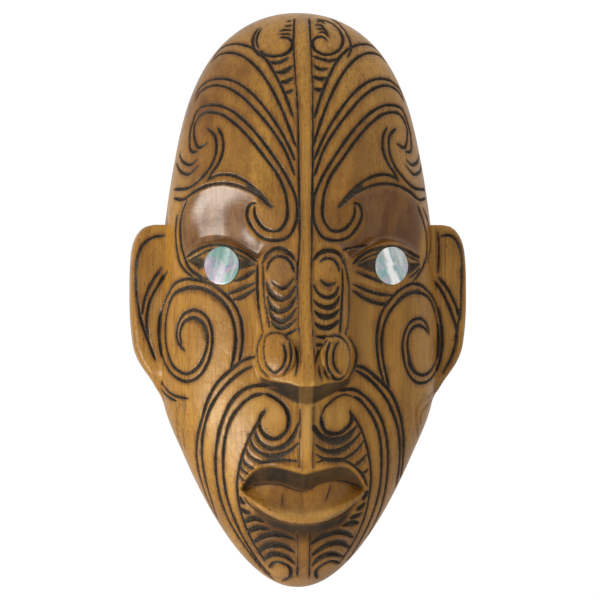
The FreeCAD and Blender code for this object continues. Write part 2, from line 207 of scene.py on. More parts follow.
def row_heights(count):
    """Heights of the mesh's rows, evenly spaced along the outline and closer where relief is steep."""
    z = np.linspace(-HALF_HEIGHT, HALF_HEIGHT, OUTLINE_COUNT)
    half_width = section_sizes(z)[0]
    run = np.hypot(np.gradient(z), SLANT_SHARE * np.gradient(half_width))
    run *= 1 + sum(closer * bump(z, height, half) for height, half, closer in FINE_ROWS)
    along = np.concatenate([[0], np.cumsum((run[1:] + run[:-1]) / 2)])
    heights = np.interp(np.linspace(0, along[-1], count), along, z)
    edges = np.array([EAR_TOP, RECESS_LOW, RECESS_HIGH])
    under_ear_top = EAR_TOP - np.array(EAR_STEPS_UNDER_TOP)
    return np.sort(np.concatenate([heights, edges - ROW_GAP / 2, edges + ROW_GAP / 2, under_ear_top]))


def front_columns(heights, counts):
    """Half of each row's front, from the middle line to the foot at the back plane: x and depth."""
    dome_count, face_count, side_count = counts
    z = heights[:, None]
    half_width, dome, band = section_sizes(z)
    in_ear = (z < EAR_TOP) & (z > EAR_ROOT)
    growth = step(z, EAR_ROOT, EAR_ROOT + EAR_GROWTH)
    ear = np.where(in_ear, growth, 0)
    reach = np.where(in_ear, np.maximum(through(EAR_REACH, z), half_width), half_width)
    corner = np.minimum(EAR_ROUND * ear, np.maximum(reach - half_width, 0) / 2)

    # the columns: on the dome as far as the valley beside the ear, then on the ear's face
    above_band = (EAR_FACE - band) * growth * (1 - step(z, EAR_TOP, EAR_TOP + EAR_PASSING))
    valley = np.arccos(np.clip(above_band / np.maximum(dome, TINY), 0, 1))
    dome_x = half_width * np.sin(np.linspace(0, 1, dome_count) * valley)
    start, length = dome_x[:, -1:], reach - corner - dome_x[:, -1:]
    x = np.hstack([dome_x, start + length * np.linspace(0, 1, face_count + 1)[1:]])

    # their depth: the dome or the ear's face, whichever stands out more
    share = np.clip(x / np.maximum(half_width, TINY), 0, 1)
    on_dome = band + dome * np.sqrt(1 - share**2) - DOME_SLOPE_BEYOND * np.maximum(x - half_width, 0)
    face = band + (EAR_FACE - band) * ear
    has_face = step(ear, 0, 0.3)
    outer = BAND_EDGE * band * (1 - has_face) + (face - EAR_DISH) * has_face
    past_valley = np.clip((x - start) / np.maximum(length, 0.01), 0, 1)
    on_ear = face + (outer - face) * past_valley**1.5
    join = SHARP_JOIN + SOFT_JOIN * (1 - step(z, *EAR_CREASE)) * ear
    depth = np.where(in_ear, smooth_max(on_dome, on_ear, join), np.maximum(on_dome, on_ear))

    # the side: round the corner and straight back
    edge = depth[:, -1:]
    q = np.linspace(0, 1, side_count + 1)[1:]
    bend = np.clip(q / BEND_SHARE, 0, 1) * math.pi / 2
    down = np.clip((q - BEND_SHARE) / (1 - BEND_SHARE), 0, 1)
    side_x = reach - corner + corner * np.sin(bend)
    rounded = (edge - corner + corner * np.cos(bend)) * (1 - down)
    side_depth = np.where(corner > 0.01, rounded, edge * (1 - q))
    return np.hstack([x, side_x]), np.hstack([depth, side_depth])


def back_columns(heights, reach, counts):
    """The back of each row, from the right foot to the left one, feet left out: x and depth."""
    land_count, middle_count = counts
    z, reach = heights[:, None], reach[:, None]
    rise = (z + HOLLOW_DROP) / HOLLOW_TALL
    half = np.maximum(HOLLOW_WIDE * np.sqrt(np.clip(1 - rise**2, 0, 1)), RECESS_HALF_WIDTH)
    half = np.minimum(half, HOLLOW_SHARE * np.maximum(reach, 1e-3))
    land = reach + (half - reach) * np.linspace(0, 1, land_count + 2)[1:-1]
    turn = np.linspace(math.pi / 2, -math.pi / 2, middle_count)
    middle = half * np.sin(turn)
    depth = HOLLOW_DEEP * np.sqrt(np.clip(1 - (middle / HOLLOW_WIDE) ** 2 - rise**2, 0, 1))
    within_walls = np.abs(turn) < math.pi / 2 - TINY
    depth = np.where((z > RECESS_LOW) & (z < RECESS_HIGH) & within_walls, RECESS_DEPTH, depth)
    flat = np.zeros_like(land)
    return np.hstack([land, middle, -land[:, ::-1]]), np.hstack([flat, depth, flat])


def level_points(x, depth, z):
    """Grid of points from the x and depth of each row's columns."""
    return np.stack([x, -depth, np.broadcast_to(z[:, None], x.shape)], axis=-1)


def seen_from_front(x, depth, z):
    """Where a point appears in the main view: across and up, as the carved lines are drawn."""
    sideways = x * math.cos(SIGHT_TURN) + depth * math.sin(SIGHT_TURN)
    nearer = depth * math.cos(SIGHT_TURN) - x * math.sin(SIGHT_TURN) - SIGHT_PLANE
    scale = SIGHT_DISTANCE / (SIGHT_DISTANCE - nearer)
    return (sideways - SIGHT_AXIS) * scale + DRAWN_AXIS, z * scale


# ---- the relief


# The nose: its rise and half width by height, and the upper and lower edge of its underside.
NOSE_RISE = [(-60, 17.8), (-41, 17.6), (-34, 17.0), (-20, 13.6), (0, 8.8), (15, 5.4), (30, 2.6),
             (45, 0.8), (60, 0.0)]
NOSE_HALF_WIDTH = [(-60, 14), (-50, 18), (-44, 22), (-38, 25.4), (-30, 27), (-20, 25.5), (-10, 24.5),
                   (20, 25), (60, 14)]
NOSE_RIDGE = 4.0
NOSE_TIP = [(0, -45.0), (5.5, -44.6), (9, -43.4), (15, -42.6), (20, -41.4), (24, -38.6), (28, -30)]
NOSE_SOLE = [(0, -54.8), (5, -53.8), (9, -51.8), (14, -49.2), (20, -46.0), (24, -43), (28, -36)]
# The wing and the oval at the nose's root (middle, then half sizes), and the bead along its side.
WING, WING_RISE = (15.5, -28.5, 10.0, 12.5), 4.6
OVAL, OVAL_RISE = (12.8, 15.5, 9.0, 9.5), 2.0
BEAD_PLACE, BEAD_HALF, BEAD_RISE = 22.6, 1.7, 0.7
BEAD_LOW, BEAD_HIGH = (-19, -14), (16, 20)


def nose_relief(u, z):
    """The nose: sloping flanks with a bead along each, two wings and a steep underside."""
    p = np.clip((u - NOSE_RIDGE) / (through(NOSE_HALF_WIDTH, z) - NOSE_RIDGE), 0, 1)
    body = through(NOSE_RISE, z) * (1 - 0.40 * p - 0.60 * step(p, 0.72, 1.0))
    wing = ellipse(u, z, *WING)
    wing = WING_RISE * np.sqrt(wing) * step(wing, 0, 0.25)
    oval = OVAL_RISE * np.sqrt(ellipse(u, z, *OVAL))
    bead = BEAD_RISE * bump(u, BEAD_PLACE, BEAD_HALF) * window(z, BEAD_LOW, BEAD_HIGH)
    above_sole = step(z, through(NOSE_SOLE, u) - 0.5, through(NOSE_TIP, u) + 0.8)
    return (body + wing + oval + bead) * above_sole


# The eye socket's edges, how deep it is from the nose outward, and the brow's curl that bounds it.
BROW_EDGE = [(12, 45), (17, 49.5), (21, 53.2), (25, 56), (30, 58.5), (35, 60.3), (42, 61.4),
             (48, 60.8), (55, 58), (61, 54.4), (66, 52.5)]
LID_EDGE = [(4, 28), (8, 29.3), (12.5, 29.6), (17, 28.4), (21, 25.2), (24, 21.8), (27, 23.2),
            (30, 25.2), (37, 28.6), (45, 30.2), (52, 29), (58, 25.8), (64, 20)]
SOCKET_OUTER = [(18, 60), (25, 62.5), (35, 64.5), (45, 64.5), (54, 61)]
SOCKET_DEEP = [(4, 0.0), (8, 0.2), (14, 0.42), (20, 0.60), (26, 0.77), (33, 0.92), (41, 1.0)]
SOCKET_DEPTH = 7.4
SOCKET_START = (4, 7)
CURL = (18.3, 43.0)
CURL_RADIUS = 12.3
BROW_RISE = 3.4


def socket_distances(u, z):
    """How far inside the socket's edges a point lies: brow, temple, eyelid and the brow's curl."""
    off_curl = np.hypot(u - CURL[0], z - CURL[1]) - CURL_RADIUS
    return through(BROW_EDGE, u) - z, through(SOCKET_OUTER, z) - u, z - through(LID_EDGE, u), off_curl


def socket_area(u, z):
    """Which points lie in the eye socket's scoop, from 0 to 1."""
    brow, temple, lid, curl = socket_distances(u, z)
    inside = step(brow, -0.3, 2.5) * step(temple, -1, 4) * step(lid, -0.2, 1.0) * step(curl, -0.4, 2.0)
    return inside * step(u, *SOCKET_START)


def socket_share(u, z):
    """How deep the socket is: it falls away slowly under the brow and ends at a ledge, the eyelid."""
    brow, temple, lid, curl = socket_distances(u, z)
    fall = np.clip(brow / np.maximum(brow + lid, 3), 0, 1)
    under_brow = 0.07 * step(brow, -0.3, 2.0) + 0.93 * fall**1.25
    above_lid = 0.75 * step(lid, -0.2, 1.2) + 0.25 * step(lid, 0.5, 4)
    sides = step(temple, -1, 13) * step(curl, -3, 13) * step(u, *SOCKET_START)
    return under_brow * above_lid * sides * through(SOCKET_DEEP, u)


def brow_relief(u, z):
    """The brow's swell above the socket."""
    over = z - through(BROW_EDGE, u)
    return BROW_RISE * bump(over, 5, 12) * window(u, (12, 26), (52, 70))


# The lips by distance from the middle: the opening's upper edge, their parting line and the lower rim.
LIP_TOP = [(0, -90.3), (6, -88.8), (12, -87.2), (19, -86.2), (24, -87.5), (28, -91.2), (33, -98.5)]
LIP_PART = [(0, -100.0), (6, -97.6), (14, -95.6), (22, -96.2), (30, -99.0), (34, -100.0)]
LIP_RIM = [(0, -117.0), (8, -116.2), (16, -113.0), (23, -109.0), (28.5, -104.2), (33, -99.9)]
LIP_CORNER = (29.5, 34.5)
# The lower lip's section: its rise by the share of the way from the parting line to the rim.
LOWER_LIP = [(0, -6.0), (0.25, -4.2), (0.5, -0.8), (0.68, 2.6), (0.8, 5.2), (0.88, 6.6), (0.95, 6.9),
             (1.0, 6.2), (1.07, 3.8), (1.16, 1.2), (1.3, -0.6), (1.6, -1.0), (2.2, 0.0)]
UPPER_LIP_SLOPE = 6.0
UPPER_LIP_EDGE = 0.9
# Heights of lip and of opening at which the lips' section has its full size.
FULL_LIP, FULL_OPENING = 14.0, 8.0
# The swelling round the mouth: its middle's height, half sizes and rise.
MUZZLE_Z, MUZZLE_HALF_WIDTH, MUZZLE_HALF_HEIGHT, MUZZLE_RISE = -84, 33, 34, 6.5


def below_parting(u, z):
    """How far below the lips' parting line a point lies, as a share of the lower lip's height."""
    part = through(LIP_PART, u)
    return (part - z) / np.maximum(part - through(LIP_RIM, u), 3.0)


def lip_relief(x, z):
    """Swelling round the mouth, an upper lip that slopes inward and a lower lip like a thick shelf."""
    u = np.abs(x)
    away = (u / MUZZLE_HALF_WIDTH) ** 2 + ((z - MUZZLE_Z) / MUZZLE_HALF_HEIGHT) ** 2
    muzzle = MUZZLE_RISE * np.exp(-(away**1.4))
    top, part, rim = through(LIP_TOP, u), through(LIP_PART, u), through(LIP_RIM, u)
    corner = 1 - step(u, *LIP_CORNER)
    lower_size = np.clip((part - rim) / FULL_LIP, 0.05, 1) ** 0.8 * corner
    upper_size = np.clip((top - part) / FULL_OPENING, 0.05, 1) ** 0.8 * corner
    inward = np.clip((top - z) / np.maximum(top - part, 1.5), 0, 1)
    upper = -UPPER_LIP_SLOPE * inward**1.1 * upper_size
    down = below_parting(u, z)
    lower = through(LOWER_LIP, down + 0.08 * step(x, 6, 20) * np.clip(down, 0, 1))
    blend = np.clip(2 * down, 0, 1)
    lower = lower * ((1 - blend) * upper_size + blend * lower_size)
    edge = UPPER_LIP_EDGE * bump(z - top, 0.8, 1.6) * corner
    return muzzle + np.where(z > part, upper, lower) + edge


def relief(x, z):
    """How far the carved forms stand out of the plain dome."""
    u = np.abs(x)
    return nose_relief(u, z) - SOCKET_DEPTH * socket_share(u, z) + brow_relief(u, z) + lip_relief(x, z)


# The raised strip down the middle: its edges as drawn, and how far it stands out.
STRIP_LEFT = [(148, -4.5), (136, -4.9), (120, -4.2), (100, -2.8), (75, -2.3), (45, -1.8), (28, -1.9),
              (14, -3.0), (-5, -2.7), (-22, -1.9), (-34, -1.2), (-46, -1.2), (-56, -1.6), (-70, -1.8),
              (-88, -1.8), (-122, -3.0), (-146, -3.0)]
STRIP_RIGHT = [(148, 3.2), (136, 4.0), (120, 4.8), (100, 5.2), (75, 5.2), (45, 4.8), (28, 4.8),
               (14, 4.4), (-5, 4.6), (-22, 5.5), (-34, 6.2), (-46, 6.2), (-56, 5.6), (-70, 5.4),
               (-88, 5.2), (-122, 3.7), (-146, 3.5)]
STRIP_RISE = [(-150, 0.2), (-143, 0.9), (-123, 0.9), (-119.5, 0.0), (-117, 0.0), (-104, 0.0),
              (-93, 0.0), (-91, 0.0), (-88, 0.9), (-58, 0.9), (-50, 0.7), (-46.4, 0.9), (-44.9, 2.4),
              (-40, 2.4), (-30, 1.9), (0, 1.5), (30, 0.8), (45, 0.35), (145, 0.35), (150, 0.0)]


def strip_relief(across, z):
    """The raised strip, with softened edges."""
    left, right = through(STRIP_LEFT[::-1], z), through(STRIP_RIGHT[::-1], z)
    return through(STRIP_RISE, z) * step(across - left, -0.5, 0.5) * step(right - across, -0.5, 0.5)


# ---- the drawn lines
#
# Each entry is (kind of cut, its greatest width, its points as (across, up)). A "line" keeps its
# width, a "bare" one is hardly stained, a "moon" swells in the middle, a "pit" swells towards its
# last point, and a "scoop" is a moon with one steep side. BOTH_SIDES is drawn on the viewer's left.

BOTH_SIDES = [
    # forehead rays
    ("line", 1.8, [(-47, 127), (-44, 131), (-39, 134), (-33, 134.4), (-27, 132.5), (-20, 127),
        (-14, 117.5), (-9, 107), (-5, 95.5)]),
    ("line", 1.8, [(-48, 125), (-44, 128.6), (-38, 130), (-32, 128.3), (-25, 123), (-18.5, 114.5),
        (-13, 104.5), (-8.5, 94), (-3.5, 80)]),
    ("line", 1.8, [(-57, 106), (-54, 111.5), (-49, 115.3), (-42, 116.4), (-35, 114.5), (-28, 109.7),
        (-20, 101), (-12, 89.5), (-7, 80), (-4, 73)]),
    ("line", 1.8, [(-57, 104), (-53, 110), (-47, 112.8), (-40, 111.8), (-33, 107.7), (-25, 100),
        (-17, 90.5), (-10, 80), (-4, 65)]),
    ("line", 1.9, [(-55, 78), (-58.5, 78), (-59.5, 84), (-58, 93), (-54, 101), (-46, 102.6),
        (-38, 99.8), (-30, 93.5), (-22, 84.5), (-14, 73.5), (-7, 62), (-3.5, 53), (-3.8, 40),
        (-8, 33), (-14, 31.3), (-21, 32.5), (-27, 38.5), (-29.5, 45), (-27.5, 50.3), (-24, 51)]),
    ("line", 1.9, [(-50, 82.5), (-55, 80.2), (-57, 85), (-56.5, 93), (-52, 98.3), (-44, 98),
        (-36, 93), (-28, 85), (-20, 75), (-12, 63.5), (-8.4, 52), (-9, 41), (-12.5, 36.7),
        (-18.5, 36.7), (-23.5, 41), (-25.5, 46), (-25.3, 50)]),
    # hooks at the temple
    ("line", 1.9, [(-45, 91), (-42.6, 86.5), (-42, 79), (-44.5, 71.5), (-48, 66.5), (-50.5, 62)]),
    ("line", 1.9, [(-50.5, 90.5), (-46.5, 86.5), (-45.5, 79), (-48, 71), (-53, 64.5), (-60, 59),
        (-68, 58)]),
    ("moon", 2.0, [(-65, 77), (-63, 72.5), (-59.5, 71), (-55, 74)]),
    ("moon", 2.0, [(-66.5, 72), (-64.5, 67.6), (-61, 66), (-54.5, 71)]),
    # brow
    ("line", 1.8, [(-50, 63), (-45, 65.6), (-38, 65.7), (-31, 62.9), (-24, 57.5), (-18.5, 51.5),
        (-16, 48.5)]),
    ("line", 1.9, [(-68, 53.5), (-64, 52.7), (-57, 57), (-49, 60.3), (-41, 61), (-32, 59), (-24, 55),
        (-17, 49)]),
    ("scoop_right", 3.4, [(-30, 60.5), (-24, 56.8), (-19.5, 52.4), (-16.6, 48.4)]),
]

LEFT_SIDE = [
    # temple
    ("line", 1.7, [(-66, 45), (-67, 37), (-66.3, 27), (-64.5, 19), (-61, 14.5), (-57.5, 12)]),
    ("line", 1.7, [(-61, 53), (-64, 44), (-64.5, 35), (-62.5, 23), (-59, 16), (-53, 12.5)]),
    # side of the nose
    ("line", 1.6, [(-24, 19), (-24, 10), (-23.7, 0), (-22.5, -10), (-21, -17)]),
    ("line", 1.6, [(-21, 19), (-21, 10), (-20.5, 0), (-19, -8), (-17.5, -15)]),
    ("scoop_right", 3.6, [(-22, 18.5), (-19.8, 23.8), (-15.7, 27.4), (-10.5, 27.5), (-6, 24.3),
        (-3.7, 20)]),
    ("line", 2.0, [(-19.2, 15), (-17.7, 19.8), (-14, 22.8), (-9.5, 22.6), (-6.3, 19.6), (-4.2, 14)]),
    ("scoop_left", 2.8, [(-17, 10), (-14.3, 6.9), (-10.6, 5.6), (-7, 7.4), (-4.3, 12)]),
    ("scoop_left", 4.0, [(-20, 10), (-17.7, 3.3), (-12.3, -0.3), (-7, 1.6), (-3.4, 8)]),
    ("scoop_left", 4.2, [(-19.5, 2.5), (-17.3, -3.8), (-12.2, -6.6), (-7.2, -4.6), (-3.3, 2.2)]),
    ("scoop_left", 4.0, [(-18.8, -4), (-15.6, -10.2), (-11.5, -12), (-7.3, -10), (-3.1, -4)]),
    ("scoop_left", 3.4, [(-17.3, -10.8), (-13.4, -14.9), (-9.2, -14.8), (-3, -9.8)]),
    ("scoop_left", 2.4, [(-9, -18.6), (-5.5, -17), (-2.8, -15)]),
    # wing of the nose
    ("line", 1.7, [(-21, -17.5), (-23.6, -22.5), (-24.2, -29), (-22.5, -36), (-18, -41)]),
    ("line", 1.7, [(-6, -22), (-10.5, -18.2), (-15, -17), (-19, -18.7), (-20.8, -27), (-19, -35),
        (-15, -38.5), (-11.5, -36), (-9, -29), (-10.5, -22.5)]),
    ("line", 1.5, [(-7.3, -20.5), (-6, -28), (-7, -34.5), (-10.5, -40)]),
    ("moon", 1.6, [(-4, -24), (-2.8, -32), (-4, -40)]),
    # cheek
    ("line", 1.9, [(-33.5, -33), (-32, -25), (-31.7, -18), (-33, -9), (-37, -1), (-42, 4), (-48, 8.2),
        (-55, 10.4), (-62, 11), (-67, 9), (-71, 3), (-74, -5), (-75.5, -15), (-75, -24),
        (-72.5, -33.5), (-67, -40.5), (-61, -42.8), (-55, -40.3), (-50.5, -34), (-48, -25),
        (-48, -16), (-51, -8.5), (-57, -5.2), (-62.5, -7.3), (-66, -14), (-65.8, -22), (-62, -27)]),
    ("line", 2.0, [(-38, -37), (-36, -28), (-35.3, -21), (-37, -10), (-41.5, -1.5), (-47, 3.5),
        (-54, 6.3), (-62, 6.4), (-68, 2.8), (-71.3, -6), (-72.5, -16), (-71.3, -27), (-67.5, -35.5),
        (-61.5, -38.8), (-56, -36), (-51.8, -29), (-50.2, -20), (-52.2, -12.5), (-57.5, -9.1),
        (-62.5, -11.6), (-64.7, -18), (-63.5, -24)]),
    ("scoop_right", 3.2, [(-66, 4.2), (-60, 6.8), (-54, 6.4), (-47, 3.6), (-42, -1.2), (-38.5, -7)]),
    ("scoop_right", 3.4, [(-61.5, -10.4), (-57.5, -9), (-53.5, -11.2), (-51, -16), (-50.6, -22)]),
    # ear
    ("line", 1.8, [(-72.5, 34), (-79, 32.8), (-84, 29), (-87, 22), (-88, 13), (-87, 0), (-84.5, -12),
        (-81, -22), (-77.3, -32)]),
    ("line", 1.7, [(-74, 17), (-78.5, 10.5), (-82.5, 2), (-84.5, -8)]),
    ("line", 1.7, [(-71, 15.5), (-76, 7.5), (-80, 0), (-82, -10), (-81, -21)]),
    ("line", 1.6, [(-74.6, -42.6), (-72.4, -46.2), (-69, -49.5), (-60, -52)]),
    ("line", 1.6, [(-74.8, -46.4), (-72.6, -49.2), (-69, -52), (-66, -53.3)]),
    ("bare", 1.8, [(-65.3, -53.5), (-66.3, -60), (-66.2, -68), (-64, -77)]),
    ("bare", 1.8, [(-62, -53), (-63.2, -62), (-63.2, -70), (-62, -78)]),
    # from the wing of the nose to the jaw
    ("line", 1.9, [(-25, -29.5), (-31, -31.5), (-38, -36.8), (-45, -43.5), (-50, -52.5), (-53.3, -63),
        (-55.7, -73), (-56, -83), (-53.6, -95), (-50, -105), (-46.4, -113)]),
    ("line", 1.9, [(-26, -34.5), (-31, -37), (-38, -42.3), (-44, -49), (-49, -57.5), (-52, -67),
        (-53.3, -79), (-52, -91), (-49, -103), (-45, -115)]),
    # from the nostril round the mouth to the chin
    ("line", 2.1, [(-14, -46.4), (-18, -45), (-24, -44.8), (-30, -46.5), (-36, -51.3), (-41, -60),
        (-44.5, -71), (-46, -82), (-45.5, -94), (-42, -109), (-35, -123), (-27, -134.5), (-20, -143),
        (-15, -147)]),
    ("line", 2.0, [(-20, -49), (-26, -50.3), (-32, -54.8), (-38, -63), (-41, -73), (-42, -85),
        (-41, -99), (-37, -113), (-30, -127.5), (-23, -138), (-17, -145)]),
    # upper lip
    ("line", 2.3, [(-20, -49), (-14.5, -51.4), (-9.5, -56), (-7.3, -63), (-9.5, -69.8), (-15, -73),
        (-20.5, -70.5), (-23, -65), (-21.8, -60.3), (-19.5, -57.5)]),
    ("line", 1.7, [(-19.5, -57.5), (-24, -65), (-28.5, -73), (-32.5, -84), (-34.7, -96),
        (-33.5, -108), (-31, -117), (-26, -128), (-19.5, -138)]),
    ("scoop_right", 4.0, [(-25.5, -66.5), (-22.8, -74), (-16.5, -77.6), (-9.5, -75.6), (-4.8, -70),
        (-2.4, -64)]),
    ("scoop_right", 4.0, [(-28.2, -70), (-25.6, -77.3), (-18.5, -81.2), (-9, -79.8), (-2, -74.6)]),
    ("scoop_right", 3.2, [(-30.6, -75.5), (-28, -81.5), (-22.5, -84.6), (-14, -83.6), (-6, -84),
        (-2, -84.6)]),
    ("scoop_right", 3.0, [(-32.3, -80.5), (-30, -86), (-25.5, -88.6)]),
    ("scoop_right", 2.6, [(-33.2, -85.5), (-31.4, -89.4), (-28.5, -91.2)]),
    ("scoop_right", 2.4, [(-33.8, -91), (-32.2, -93.6), (-30, -95.2)]),
    # mouth
    ("line", 1.1, [(-31.4, -103.6), (-27, -108.6), (-21, -112.9), (-14, -115.8), (-7, -117.4),
        (0.5, -118)]),
    ("line", 0.6, [(-11, -101.5), (-10.7, -105), (-11, -108.5)]),
    ("line", 0.8, [(-32.5, -99.6), (-27, -97.4), (-20, -96.6), (-12, -97), (-5, -99.4), (0.5, -101)]),
    # chin
    ("moon", 3.2, [(-33.8, -103), (-32.6, -105.6), (-30.4, -107.4)]),
    ("moon", 3.6, [(-32.8, -109.6), (-30.4, -111.4), (-27.6, -112)]),
    ("scoop_left", 4.2, [(-31, -117.4), (-26.5, -115.6), (-20.5, -116.8)]),
    ("scoop_left", 4.6, [(-29.4, -122.6), (-24.5, -120.6), (-17, -120.8)]),
    ("scoop_left", 4.6, [(-27, -128.6), (-20.5, -124.9), (-12, -124), (-4, -126.2)]),
    ("scoop_left", 4.8, [(-24, -133.2), (-18, -129.8), (-11, -129.8), (-4, -133.2)]),
    ("scoop_left", 4.4, [(-21, -137), (-15, -134.3), (-9.5, -135.4), (-4, -139)]),
    ("line", 2.2, [(-18, -141), (-15.5, -138.2), (-10.5, -138.4), (-6.6, -141.3), (-6.8, -145.5),
        (-11, -147.8)]),
]

